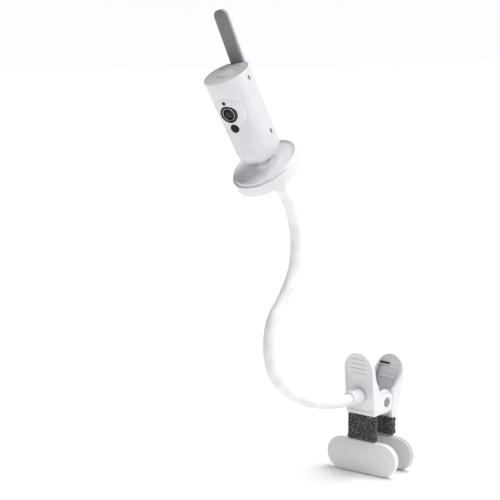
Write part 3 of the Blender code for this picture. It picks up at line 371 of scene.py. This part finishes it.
def sweep_tree(name, finish, sides):
    """A round section swept along a chain of edges, with closed ends."""
    tree, given = geometry_tree(name, {
        "Path": ("NodeSocketGeometry", None),
        "Radius": ("NodeSocketFloat", 1 * MM),
    })
    path = add_node(tree, "GeometryNodeMeshToCurve", {"Mesh": given["Path"]})
    section = {"Resolution": sides, "Radius": given["Radius"]}
    ring = add_node(tree, "GeometryNodeCurvePrimitiveCircle", section)
    swept = {"Curve": path.outputs[0], "Profile Curve": ring.outputs[0], "Fill Caps": True}
    finish_tree(tree, add_node(tree, "GeometryNodeCurveToMesh", swept).outputs[0], finish)
    return tree


def chain_mesh(points, closed=False):
    """A mesh of edges through points, for a tree to sweep along."""
    mesh = bpy.data.meshes.new("path")
    edges = [(i, i + 1) for i in range(len(points) - 1)]
    if closed:
        edges.append((len(points) - 1, 0))
    mesh.from_pydata([tuple(point) for point in points], edges, [])
    return mesh


def smooth_through(points, steps):
    """Points on one smooth curve through the points given."""
    befores, afters = [points[0]] + points, points[1:] + points[-1:]
    aims = [(after - before).normalized() for before, after in zip(befores, afters)]
    found = [points[0]]
    for i in range(len(points) - 1):
        reach = (points[i + 1] - points[i]).length / 3
        handles = points[i] + reach * aims[i], points[i + 1] - reach * aims[i + 1]
        found += interpolate_bezier(points[i], *handles, points[i + 1], steps + 1)[1:]
    return found


def spring_route():
    """Points along the wire: the front arm, the coil and the rear arm with its bent tip."""
    points = []
    for rise in FRONT_ARM:
        z = PIN.z + rise * MM
        points.append(Vector((COIL_HALF_LENGTH, on_face(FRONT_FACE, z) + STAND_OFF, z)))
    count = COIL_TURNS * COIL_STEPS + COIL_STEPS // 2
    for i in range(count + 1):
        angle = math.pi + 2 * math.pi * i / COIL_STEPS
        x = COIL_HALF_LENGTH * (1 - 2 * i / count)
        y, z = PIN.y + COIL_RADIUS * math.cos(angle), PIN.z + COIL_RADIUS * math.sin(angle)
        points.append(Vector((x, y, z)))
    for out, rise in REAR_ARM:
        z = PIN.z + rise * MM
        points.append(Vector((-out * MM, on_face(REAR_FACE, z) - STAND_OFF, z)))
    return smooth_through(points, 2)


spring_wire = grained("bright_drawn_spring_wire", "#c4c5c8", "#a5a6aa", 0.30, 0.35 * MM, 0.004 * MM,
                      patch=5 * MM, metallic=1.0, spread=0.08)
wire_mesh = grown("spring_wire", sweep_tree("wire_sweep", spring_wire, 12), chain_mesh(spring_route()),
                  radius=WIRE_RADIUS)
spring = new_piece("spring_wire", wire_mesh, spring_wire, None, 50)
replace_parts(spring, "torsion_spring")
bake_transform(spring)

TIP_RADIUS = 1.15 * MM
TIP_FROM, TIP_TO = -10.6 * MM, -0.9 * MM       # the sleeve's two ends across the handle
TIP_RISE = 31.0 * MM          # above the pin
tip_up = PIN.z + TIP_RISE
vinyl = grained("dipped_black_vinyl", "#18181a", "#0d0d0f", 0.42, 0.5 * MM, 0.006 * MM)
tip_y = on_face(REAR_FACE, tip_up) - STAND_OFF
tip_mesh = grown("spring_tip_sleeve", rib_tree("dipped_sleeve", vinyl), count=1,
                 first=Vector(((TIP_FROM + TIP_TO) / 2, tip_y, tip_up)), step=Vector((0.0, 0.0, 0.0)),
                 bar=Vector(((TIP_TO - TIP_FROM) / 2, 0.0, 0.0)), radius=TIP_RADIUS)
new_piece("spring_tip_sleeve", tip_mesh, vinyl, "clip_rear")

# ------------------------------------------------------------------ jaw plates, pads and screws
# A wide white ABS plate on each jaw with a soft pad stuck to its gripping face. The pads are
# thermoplastic rubber, matt and a little warmer than the ABS, and one screw holds each plate.
soft_tpe = grained("matt_white_tpe", "#e2e2e1", "#d8d8d7", 0.72, 0.6 * MM, 0.012 * MM)
for side in ("front", "rear"):
    moulded(f"{side}_jaw_plate", white_abs, edge=0.7 * MM, segments=3, smooth=50)
    moulded(f"{side}_jaw_pad", soft_tpe, edge=0.5 * MM)
    moulded(f"{side}_jaw_screw", plated_steel, edge=0.2 * MM)

# ------------------------------------------------------------------ knitted bands
# A tube of coarse polyester knit pulled over each jaw's neck, so that it doesn't mark the rail. It
# is charcoal black yarn with light flecks, and every V-shaped stitch stands out from the cloth.

NECK_CORNER = 3.2 * MM
CLOTH_THICKNESS = 0.9 * MM
CLOTH_INSET = 0.55 * MM       # of the cloth's outer face inside the sleeve's box
CLOTH_EDGE = 0.35 * MM        # of the cloth's last straight ring from the sleeve's end
HEM_RISE = 0.25 * MM          # of the round hem beyond that ring
CLOTH_COLUMNS, CLOTH_ROWS = 96, 26
STITCH_WIDTH = 2.0 * MM
STITCH_HEIGHT = 1.65 * MM
STITCH_INSET = 0.5 * MM
STITCH_MARGIN = 0.6 * MM      # above the last row and below the first
LEG_SLIMNESS = 0.46           # a leg's width over the stitch's
LEG_STRETCH = 1.25            # a leg's length over the stitch's height
LEG_SHIFT = 0.25              # a leg's place beside the stitch's middle, over the stitch's width
LEG_LEAN = 0.45               # radians from upright
SMALLEST_STITCH, LARGEST_STITCH = 0.86, 1.12
FLECK_LOW, FLECK_HIGH = 0.55, 0.60      # the noise values where a fleck starts and is full


def band_outline(half_x, half_y, corner, count):
    """Evenly spaced points and outward directions round a rectangle with round corners."""
    flat_x, flat_y = half_x - corner, half_y - corner
    quarter = math.pi * corner / 2
    runs = (2 * flat_y, quarter, 2 * flat_x, quarter) * 2
    centres = ((flat_x, -flat_y), (flat_x, flat_y), (-flat_x, flat_y), (-flat_x, -flat_y))
    total = sum(runs)
    found = []
    for i in range(count):
        left = total * i / count
        leg = 0
        while left > runs[leg]:
            left -= runs[leg]
            leg += 1
        side = leg // 2
        base = math.pi / 2 * side
        centre = Vector(centres[side])
        if leg % 2 == 0:
            out = Vector((math.cos(base), math.sin(base)))
            ahead = Vector((-out.y, out.x))
            found.append((centre + corner * out + left * ahead, out))
        else:
            turn_centre = Vector(centres[(side + 1) % 4])
            turn = base + left / corner
            out = Vector((math.cos(turn), math.sin(turn)))
            found.append((turn_centre + corner * out, out))
    return found, total


def knit_tree(name, finish):
    """A V of two slim ovals on every point of a mesh, turned to its surface and a little uneven."""
    tree, given = geometry_tree(name, {
        "Points": ("NodeSocketGeometry", None),
        "Width": ("NodeSocketFloat", STITCH_WIDTH),
        "Height": ("NodeSocketFloat", STITCH_HEIGHT),
        "Seed": ("NodeSocketInt", 7),
    })
    oval = add_node(tree, "GeometryNodeMeshUVSphere", {"Segments": 8, "Rings": 5, "Radius": 0.5})
    size = add_node(tree, "ShaderNodeCombineXYZ")
    slim = add_node(tree, "ShaderNodeMath", {0: given["Width"], 1: LEG_SLIMNESS}, operation="MULTIPLY")
    long = add_node(tree, "ShaderNodeMath", {0: given["Height"], 1: LEG_STRETCH}, operation="MULTIPLY")
    for axis, value in (("X", slim), ("Y", long), ("Z", slim)):
        tree.links.new(value.outputs[0], size.inputs[axis])
    shift = add_node(tree, "ShaderNodeMath", {0: given["Width"], 1: LEG_SHIFT}, operation="MULTIPLY")
    stitch = add_node(tree, "GeometryNodeJoinGeometry")
    for way in (1.0, -1.0):
        move = add_node(tree, "ShaderNodeMath", {0: shift.outputs[0], 1: way}, operation="MULTIPLY")
        place = add_node(tree, "ShaderNodeCombineXYZ", {"X": move.outputs[0]})
        scaled = {"Geometry": oval.outputs[0], "Scale": size.outputs[0]}
        leg = add_node(tree, "GeometryNodeTransform", scaled)
        leg.inputs["Rotation"].default_value = (0.0, 0.0, -way * LEG_LEAN)
        tree.links.new(place.outputs[0], leg.inputs["Translation"])
        tree.links.new(leg.outputs[0], stitch.inputs[0])
    normal = add_node(tree, "GeometryNodeInputNormal")
    facing = add_node(tree, "FunctionNodeAlignRotationToVector", {"Vector": normal.outputs[0]}, axis="Z")
    upright = add_node(tree, "FunctionNodeAlignRotationToVector", {"Vector": (0.0, 0.0, 1.0)},
                       axis="Y", pivot_axis="Z")
    tree.links.new(facing.outputs[0], upright.inputs["Rotation"])
    uneven = add_node(tree, "FunctionNodeRandomValue", {"Seed": given["Seed"]}, data_type="FLOAT")
    uneven.inputs[2].default_value = SMALLEST_STITCH
    uneven.inputs[3].default_value = LARGEST_STITCH
    row = {"Points": given["Points"], "Instance": stitch.outputs[0], "Rotation": upright.outputs[0]}
    placed = add_node(tree, "GeometryNodeInstanceOnPoints", row)
    tree.links.new(uneven.outputs[1], placed.inputs["Scale"])
    finish_tree(tree, placed.outputs[0], finish)
    return tree


def knitted(name, light, dark, flecks):
    """Black yarn: fuzzy and dull, with light flecks where a pale strand comes to the surface."""
    made = grained(name, dark, dark, 0.85, 0.35 * MM, 0.05 * MM, patch=6 * MM, Sheen_Weight=0.35)
    tree = made.node_tree
    shader = tree.nodes["Principled BSDF"]
    place = add_node(tree, "ShaderNodeTexCoord").outputs["Object"]
    spots = add_node(tree, "ShaderNodeTexNoise", {"Vector": place, "Scale": 1 / flecks, "Detail": 2.0})
    spans = {"From Min": FLECK_LOW, "From Max": FLECK_HIGH}
    above = add_node(tree, "ShaderNodeMapRange", {"Value": spots.outputs["Fac"], **spans})
    mix = add_node(tree, "ShaderNodeMix", {"Factor": above.outputs["Result"]}, data_type="RGBA")
    mix.inputs[6].default_value = colour(dark)
    mix.inputs[7].default_value = colour(light)
    tree.links.new(mix.outputs[2], shader.inputs["Base Color"])
    return made


yarn = knitted("knitted_charcoal_polyester", "#9a9aa0", "#15151a", 1.15 * MM)
stitches = knit_tree("knit_stitches", yarn)


def band(side, bunch, folds, seed):
    """One band: a closed tube of cloth between the jaw plate and the shell, and its stitches."""
    low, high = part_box(f"{side}_grip_sleeve")
    body = body_of_node(f"{side}_grip_sleeve")
    middle = (low + high) / 2
    half_x, half_y = (high.x - low.x) / 2, (high.y - low.y) / 2
    tall = high.z - low.z

    def ring(mesh, z, inset, share, count):
        swell = bunch * (0.5 - 0.5 * math.cos(2 * math.pi * folds * share))
        outline, _ = band_outline(half_x - inset + swell, half_y - inset + swell, NECK_CORNER - inset, count)
        return [mesh.verts.new((middle.x + p.x, middle.y + p.y, z)) for p, _ in outline]

    def join(mesh, one, two):
        for i in range(len(one)):
            j = (i + 1) % len(one)
            mesh.faces.new((one[i], one[j], two[j], two[i]))

    tube = bmesh.new()
    shares = [i / CLOTH_ROWS for i in range(CLOTH_ROWS + 1)]
    heights = [low.z + CLOTH_EDGE + (tall - 2 * CLOTH_EDGE) * share for share in shares]
    walls = []
    for inset in (CLOTH_INSET, CLOTH_INSET + CLOTH_THICKNESS):
        walls.append([ring(tube, z, inset, share, CLOTH_COLUMNS) for z, share in zip(heights, shares)])
    hem_inset = CLOTH_INSET + CLOTH_THICKNESS / 2
    top = [ring(tube, heights[-1] + HEM_RISE, hem_inset, 1.0, CLOTH_COLUMNS)]
    bottom = [ring(tube, heights[0] - HEM_RISE, hem_inset, 0.0, CLOTH_COLUMNS)]
    loops = walls[0] + top + walls[1][::-1] + bottom
    for one, two in zip(loops, loops[1:] + loops[:1]):
        join(tube, one, two)
    name = f"{side}_knitted_band"
    cloth = new_piece(name, mesh_of(name, tube), yarn, body, 60)
    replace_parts(cloth, f"{side}_grip_sleeve")

    _, girth = band_outline(half_x, half_y, NECK_CORNER, 4)
    across = round(girth / STITCH_WIDTH)
    grid = bmesh.new()
    rows = []
    for k in range(int((tall - 2 * STITCH_MARGIN) / STITCH_HEIGHT)):
        z = low.z + STITCH_MARGIN + STITCH_HEIGHT * (k + 0.5)
        rows.append(ring(grid, z, STITCH_INSET, (z - low.z) / tall, across))
    for one, two in zip(rows, rows[1:]):
        join(grid, one, two)
    name = f"{side}_band_stitches"
    knit = grown(name, stitches, mesh_of("stitch_points", grid), seed=seed)
    knit_piece = new_piece(name, knit, yarn, body, 80)


band("front", bunch=0.0, folds=1, seed=7)
band("rear", bunch=0.5 * MM, folds=3, seed=11)

# ------------------------------------------------------------------ arm socket, nut and cores
# The socket is a turned white ABS boss. Its stud goes through the front handle to a plated nut, and
# it grips the first of the steel cores, which are bundles of soft annealed wire.
annealed_steel = grained("annealed_steel_wire", "#8d8e92", "#6f7074", 0.5, 0.5 * MM, 0.02 * MM, metallic=1.0)
moulded("arm_socket", white_abs, edge=1.5 * MM, segments=4)
moulded("arm_socket_nut", plated_steel, edge=0.25 * MM)
CORE_COUNT = 6
for i in range(CORE_COUNT):
    moulded(f"arm_core_{i}", annealed_steel, edge=0.2 * MM)

# ------------------------------------------------------------------ arm skin
# An extruded silicone sleeve over the whole core, in lengths that meet halfway between its bends. It is
# soft and matt, with a faint grey speckle.

ARM_RADIUS = 5.6 * MM
ARM_ROUTE = (               # y, z of the arm's middle line in mm, from the socket up to the ferrule
    (-62.0, 69.0),
    (-97.0, 79.5),
    (-131.0, 96.5),
    (-157.0, 120.5),
    (-166.5, 148.5),
    (-161.0, 176.0),
    (-140.5, 197.4),
    (-126.0, 219.0),
    (-121.8, 245.0),
    (-126.5, 268.0),
    (-137.0, 291.5),
)
BEND_COUNT = 5
CURVE_STEPS = 24              # points between two places of the route
GAP = 0.3 * MM
out_of_base = Vector(joints["base_lift"]["axis"]).normalized()
socket_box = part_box("arm_socket")
ferrule_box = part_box("arm_ferrule")
FERRULE_HALF = 2.35 * MM
arm_start = Vector((0.0, socket_box[0].y - GAP, (socket_box[0].z + socket_box[1].z) / 2))
arm_end = (ferrule_box[0] + ferrule_box[1]) / 2 - out_of_base * (FERRULE_HALF + GAP)


def arm_line():
    """Closely spaced points on one smooth curve through the arm's route."""
    route = [arm_start] + [Vector((0.0, y * MM, z * MM)) for y, z in ARM_ROUTE] + [arm_end]
    aims = [Vector((0.0, -1.0, 0.0))]
    aims += [(after - before).normalized() for before, after in zip(route, route[2:])]
    aims += [out_of_base]
    points = [arm_start]
    for i in range(len(route) - 1):
        reach = (route[i + 1] - route[i]).length / 3
        handles = route[i] + reach * aims[i], route[i + 1] - reach * aims[i + 1]
        points += interpolate_bezier(route[i], *handles, route[i + 1], CURVE_STEPS + 1)[1:]
    return points


line = arm_line()
bends = [Vector(joints[f"arm_bend_{i + 1}"]["pos_m"]) for i in range(BEND_COUNT)]
at_bend = [min(range(len(line)), key=lambda i: (line[i] - bend).length) for bend in bends]
splits = [0] + [(one + two) // 2 for one, two in zip(at_bend, at_bend[1:])] + [len(line) - 1]
silicone = grained("matt_extruded_silicone", "#eeeeef", "#dededf", 0.62, 0.9 * MM, 0.015 * MM,
                   patch=14 * MM, Subsurface_Weight=0.08, Subsurface_Scale=1 * MM)
arm_sweep = sweep_tree("arm_sweep", silicone, 36)
for k in range(BEND_COUNT):
    path = line[splits[k]:splits[k + 1] + 1]
    mesh = grown(f"arm_skin_{k + 1}", arm_sweep, chain_mesh(path), radius=ARM_RADIUS)
    skin = new_piece(f"arm_skin_{k + 1}", mesh, silicone, None, 50)
    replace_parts(skin, *(["arm_sleeve_0", "arm_sleeve_1"] if k == 0 else [f"arm_sleeve_{k + 1}"]))
    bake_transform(skin)

# ------------------------------------------------------------------ holder
# An open ring of white ABS with a floor, which the camera's base drops into. A ferrule on the arm's
# end is screwed to the floor from inside.
moulded("holder_cup", white_abs, edge=0.45 * MM, segments=3)
moulded("arm_ferrule", white_abs, edge=0.5 * MM, segments=3)
moulded("holder_screw", plated_steel, edge=0.25 * MM)

# ------------------------------------------------------------------ base
# A round white ABS shell with a raised rim and a collar for the ball. A cover closes it from below
# over an iron weight, and a ring of black rubber is stuck on as a foot. The power inlet is at the back.
black_rubber = grained("moulded_black_rubber", "#2b2b2c", "#1c1c1d", 0.78, 0.5 * MM, 0.02 * MM)
black_abs = grained("moulded_black_abs", "#1e1e20", "#131315", 0.36, 0.35 * MM, 0.003 * MM, IOR=1.53)
cast_iron = grained("painted_cast_iron", "#4a4b4e", "#37383a", 0.6, 0.8 * MM, 0.03 * MM, metallic=1.0)
moulded("base_shell", white_abs, edge=0.35 * MM, segments=3)
moulded("base_cover", white_abs, edge=0.3 * MM)
moulded("base_foot_ring", black_rubber, edge=0.2 * MM)
moulded("base_weight", cast_iron, edge=0.3 * MM)
moulded("ball_socket", black_abs, edge=0.2 * MM)
moulded("power_inlet", black_abs, edge=0.2 * MM)

# ------------------------------------------------------------------ ball joint
# A pale acetal ball with a neck that turns under the head, held by a pressed steel ring inside.
# This grey is painted shade on the top cap and its button: it stands for less light falling on the top.
top_shade_grey_abs = grained("moulded_grey_abs", "#bdbec1", "#b3b4b7", 0.48, 0.45 * MM, 0.004 * MM, IOR=1.53)
grey_acetal = grained("moulded_pale_acetal", "#e8e8ea", "#dfdfe2", 0.34, 0.4 * MM, 0.002 * MM, IOR=1.48)
moulded("ball_stud", grey_acetal, edge=0.25 * MM)
moulded("swivel_keeper", plated_steel, edge=0.2 * MM)

# ------------------------------------------------------------------ housing
# The camera's upright body, a round white ABS tube with a domed underside, polished a little more
# than the clip. A fine groove runs round the lens, and two slots let the sound in and out.

head_up = Vector(joints["head_swivel"]["axis"]).normalized()
head_right = -Vector(joints["antenna_fold"]["axis"]).normalized()
head_back = head_up.cross(head_right)
head_origin = Vector(joints["head_swivel"]["pos_m"])
WALL_RADIUS = 21.7 * MM       # at the wall's lower end
WALL_FLARE = 1.4 * MM         # what the radius gains up to the cap
WALL_FROM = 19.6 * MM
WALL_HEIGHT = 78.8 * MM
LENS_HEIGHT = 65.5 * MM
GROOVE_RADIUS = 16.4 * MM
GROOVE_DEPTH = 0.32 * MM
GROOVE_STEPS, GROOVE_SIDES = 96, 6


def on_head(right, back, up):
    """A place given along the head's own directions."""
    return head_origin + right * head_right + back * head_back + up * head_up


def wall_radius(up):
    """The housing's radius at a height."""
    return WALL_RADIUS + WALL_FLARE * (up - WALL_FROM) / WALL_HEIGHT


def groove_cutter():
    """A thin ring that follows the housing's round wall in a circle about the lens."""
    shape = bmesh.new()
    rings = []
    for i in range(GROOVE_STEPS):
        turn = 2 * math.pi * i / GROOVE_STEPS
        right, up = GROOVE_RADIUS * math.cos(turn), LENS_HEIGHT + GROOVE_RADIUS * math.sin(turn)
        radius = wall_radius(up)
        centre = Vector((right, -math.sqrt(radius**2 - right**2), up))
        outward = Vector((right, centre.y, 0.0)).normalized()
        inward_turn = Vector((-math.cos(turn), 0.0, -math.sin(turn)))
        across = (inward_turn - inward_turn.dot(outward) * outward).normalized()
        ring = []
        for k in range(GROOVE_SIDES):
            a = 2 * math.pi * k / GROOVE_SIDES
            local = centre + GROOVE_DEPTH * (math.cos(a) * outward + math.sin(a) * across)
            ring.append(shape.verts.new(on_head(*local)))
        rings.append(ring)
    for one, two in zip(rings, rings[1:] + rings[:1]):
        for k in range(GROOVE_SIDES):
            after = (k + 1) % GROOVE_SIDES
            shape.faces.new((one[k], one[after], two[after], two[k]))
    return shape


body_abs = grained("polished_white_abs", "#e0e0e4", "#d8d8dd", 0.28, 0.5 * MM, 0.002 * MM,
                   IOR=1.53, spread=0.04)
moulded("housing", body_abs, edge=0.25 * MM, smooth=30, cutters=[groove_cutter()])

# ------------------------------------------------------------------ top cap and button
# A grey ABS disc closes the housing, with a round button in a ring gap near its middle. Their grey is
# painted shade: the top is made darker than the white housing for the shade of less light from above.
# Short black bars on both are painted shade too: they stand for the dark inside of short slots.

CAP_HEIGHT = 98.0 * MM
SLOT_RADIUS = 0.55 * MM
moulded("top_cap", top_shade_grey_abs, edge=0.3 * MM, segments=3)
moulded("top_button", top_shade_grey_abs, edge=0.3 * MM, segments=3)
# The black bars are painted shade for the insides of slots; they sit partly sunk into the cap and the button.
slot_shade_bars = rib_tree("lamp_slots", black_abs)
for name, body, right, back, sink, half in (
    ("left_lamp_slot", "head", -11.8 * MM, 12.3 * MM, 0.35 * MM, 1.9 * MM),
    ("right_lamp_slot", "head", 6.7 * MM, 13.4 * MM, 0.35 * MM, 1.7 * MM),
    ("button_lamp_slot", "top_button", -1.1 * MM, -6.4 * MM, 0.05 * MM, 1.4 * MM),
):
    mesh = grown(name, slot_shade_bars, count=1, first=on_head(right, back, CAP_HEIGHT - sink),
                 step=Vector((0.0, 0.0, 0.0)), bar=half * head_right, radius=SLOT_RADIUS)
    new_piece(name, mesh, black_abs, body)

# ------------------------------------------------------------------ lens, lamp window and light sensor
# The lens is coated glass in a black ABS bezel with a bevelled mouth. The windows below and above it
# are smoked polycarbonate, polished, for the infra-red lamp and the light sensor.


def polished(name, code, gloss, ior):
    """A dark clear surface: nearly black inside, with a hard gloss and faint wipe marks."""
    return grained(name, code, "#020203", 0.08, 3 * MM, 0.0005 * MM, spread=0.03, IOR=ior,
                   Specular_IOR_Level=gloss)


lens_coated = polished("coated_lens_glass", "#0c0a14", 0.35, 1.52)
smoked_polycarbonate = polished("smoked_polycarbonate", "#070708", 0.22, 1.52)
gloss_black = polished("polished_black_abs", "#0b0b0d", 0.30, 1.53)
moulded("lens_bezel", gloss_black, edge=0.25 * MM, smooth=25, segments=3)
moulded("lens_glass", lens_coated, edge=0.2 * MM, smooth=40)
moulded("lens_barrel", black_abs, edge=0.2 * MM)
moulded("ir_window", smoked_polycarbonate, edge=0.35 * MM, segments=3)
moulded("light_sensor", smoked_polycarbonate, edge=0.3 * MM, segments=3)
moulded("ir_lamp", smoked_polycarbonate, edge=0.2 * MM)

# A bright plated wire ring in the bezel's mouth, put in as a painted reflection: it stands for the light crescent
# that the bezel's bevelled mouth reflects.
REFLECTION_RING_RADIUS = 6.1 * MM
REFLECTION_RING_WIRE = 0.28 * MM
REFLECTION_RING_SINK = 0.9 * MM      # of its wire's middle line below the bezel's rim
REFLECTION_RING_STEPS = 64
BEZEL_PROUD = 0.3 * MM        # of the rim outside the housing's wall
reflection_ring_y = -wall_radius(LENS_HEIGHT) - BEZEL_PROUD + REFLECTION_RING_SINK
reflection_ring_path = []
for i in range(REFLECTION_RING_STEPS):
    turn = 2 * math.pi * i / REFLECTION_RING_STEPS
    up = LENS_HEIGHT + REFLECTION_RING_RADIUS * math.sin(turn)
    reflection_ring_path.append(on_head(REFLECTION_RING_RADIUS * math.cos(turn), reflection_ring_y, up))
# The ring's bright plated colour is the painted reflection on the bezel's mouth.
reflection_ring_finish = grained("bright_nickel_plated_wire", "#d4d4d6", "#c2c2c5", 0.22, 0.3 * MM, 0.001 * MM,
                      metallic=1.0)
reflection_ring_mesh = grown("lens_retainer", sweep_tree("retainer_sweep", reflection_ring_finish, 10),
                      chain_mesh(reflection_ring_path, closed=True), radius=REFLECTION_RING_WIRE)
new_piece("lens_retainer", reflection_ring_mesh, reflection_ring_finish, "head", 60)

# ------------------------------------------------------------------ boards, speaker and microphone
# Glass-epoxy boards under green solder mask, a small speaker with a black cone, and a capsule
# microphone in a plated can. They are closed inside the housing.
solder_mask = grained("green_solder_mask", "#1f5a35", "#17452a", 0.35, 1.2 * MM, 0.02 * MM, patch=6 * MM)
moulded("sensor_board", solder_mask, edge=0.15 * MM)
moulded("main_board", solder_mask, edge=0.15 * MM)
moulded("speaker", black_abs, edge=0.25 * MM)
moulded("microphone", plated_steel, edge=0.25 * MM)

# ------------------------------------------------------------------ rear buttons
# Two small grey ABS buttons for power and pairing, side by side high on the housing's back.
moulded("power_button", top_shade_grey_abs, edge=0.3 * MM, segments=3)
moulded("pairing_button", top_shade_grey_abs, edge=0.3 * MM, segments=3)

# ------------------------------------------------------------------ antenna
# A flat blade in two halves round the aerial: a dark grey satin front and a pale grey back. The split lies
# in front of the blade's middle, so the pale grey also covers the side edges: painted light, for the light
# that falls on the lit side edge. It folds on a steel pin between two lugs of the housing.

ANTENNA_LEAN = math.radians(6.0)
COLOUR_SPLIT_DEPTH = 0.9 * MM         # of the colour split in front of the blade's middle, which brings the painted light onto the side edges
antenna_back = math.cos(ANTENNA_LEAN) * head_back - math.sin(ANTENNA_LEAN) * head_up
hinge_place = Vector(joints["antenna_fold"]["pos_m"])
dark_abs = grained("satin_dark_grey_abs", "#7c7d80", "#717275", 0.40, 0.45 * MM, 0.005 * MM, IOR=1.53)
# The pale grey shows on the side edges as a lit copy of the dark grey: painted light.
lit_edge_pale_abs = grained("satin_pale_grey_abs", "#b4b5b8", "#abacaf", 0.42, 0.45 * MM, 0.004 * MM, IOR=1.53)
for name, finish, front in (("antenna_front", dark_abs, True), ("antenna_back", lit_edge_pale_abs, False)):
    shape = welded("antenna")
    colour_split_place = hinge_place - COLOUR_SPLIT_DEPTH * antenna_back
    everything = shape.verts[:] + shape.edges[:] + shape.faces[:]
    cut = bmesh.ops.bisect_plane(shape, geom=everything, plane_co=colour_split_place, plane_no=antenna_back,
                                 clear_outer=front, clear_inner=not front)
    rim = [edge for edge in cut["geom_cut"] if isinstance(edge, bmesh.types.BMEdge)]
    bmesh.ops.contextual_create(shape, geom=rim)
    half = new_piece(name, mesh_of(name, shape), finish, "antenna", 35)
    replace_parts(round_edges(half, 0.3 * MM, 35), "antenna")
moulded("antenna_pin", plated_steel, edge=0.15 * MM)

# ------------------------------------------------------------------ studio
# A plain white floor under the clip, soft lights on the right, in front and behind on the left, and
# a wide soft sun overhead. The camera stands well back, so that the object is seen almost in parallel.

FLOOR_HALF = 30.0
FLOOR_DROP = 0.5 * MM
SKY_STRENGTH = 0.19
SUN_ENERGY = 2.85
SUN_SPREAD = math.radians(50)
SUN_TILT = (math.radians(-14), math.radians(16), 0.0)
CAMERA_PLACE = (1.93521, -2.86064, 1.10543)
CAMERA_DOWN = math.radians(14.5)
CAMERA_ROUND = math.radians(36)
CAMERA_LENS = 259.2
SENSOR_WIDTH = 36.0
FARTHEST = 200.0

floor_mesh = bpy.data.meshes.new("studio_floor")
floor_z = frame_size[0].z - FLOOR_DROP
corners = [(x * FLOOR_HALF, y * FLOOR_HALF, floor_z) for x, y in ((-1, -1), (1, -1), (1, 1), (-1, 1))]
floor_mesh.from_pydata(corners, [], [(0, 1, 2, 3)])
floor = bpy.data.objects.new("studio_floor", floor_mesh)
bpy.context.scene.collection.objects.link(floor)
paper = grained("matt_white_paper", "#fafafa", "#f7f7f7", 0.9, 4 * MM, 0.01 * MM, patch=2.0)
floor_mesh.materials.append(paper)

world = bpy.data.worlds.new("soft_room")
bpy.context.scene.world = world
bpy.context.scene.view_settings.view_transform = "Standard"
world.use_nodes = True
world.node_tree.nodes["Background"].inputs["Color"].default_value = colour("#ffffff")
world.node_tree.nodes["Background"].inputs["Strength"].default_value = SKY_STRENGTH

lo, hi = frame_size
middle = (lo + hi) / 2
for name, place, size, power in (
    ("right_soft_light", (1.9, 0.35, 0.8), 0.9, 9.0),
    ("front_fill_light", (0.5, -2.3, 1.1), 1.2, 10.0),
    ("left_back_light", (-1.3, 1.3, 0.7), 0.8, 7.0),
):
    lamp = bpy.data.lights.new(name, "AREA")
    lamp.size = size
    lamp.energy = power
    made = bpy.data.objects.new(name, lamp)
    bpy.context.scene.collection.objects.link(made)
    made.location = place
    made.rotation_euler = (middle - Vector(place)).to_track_quat("-Z", "Y").to_euler()

sky = bpy.data.lights.new("overhead_soft_sun", "SUN")
sky.energy = SUN_ENERGY
sky.angle = SUN_SPREAD
overhead = bpy.data.objects.new("overhead_soft_sun", sky)
bpy.context.scene.collection.objects.link(overhead)
overhead.rotation_euler = SUN_TILT

camera_data = bpy.data.cameras.new("camera")
camera_data.sensor_width = SENSOR_WIDTH
camera_data.lens = CAMERA_LENS
camera_data.clip_end = FARTHEST
camera = bpy.data.objects.new("camera", camera_data)
bpy.context.scene.collection.objects.link(camera)
camera.location = CAMERA_PLACE
camera.rotation_euler = (math.pi / 2 - CAMERA_DOWN, 0.0, CAMERA_ROUND)
bpy.context.scene.camera = camera
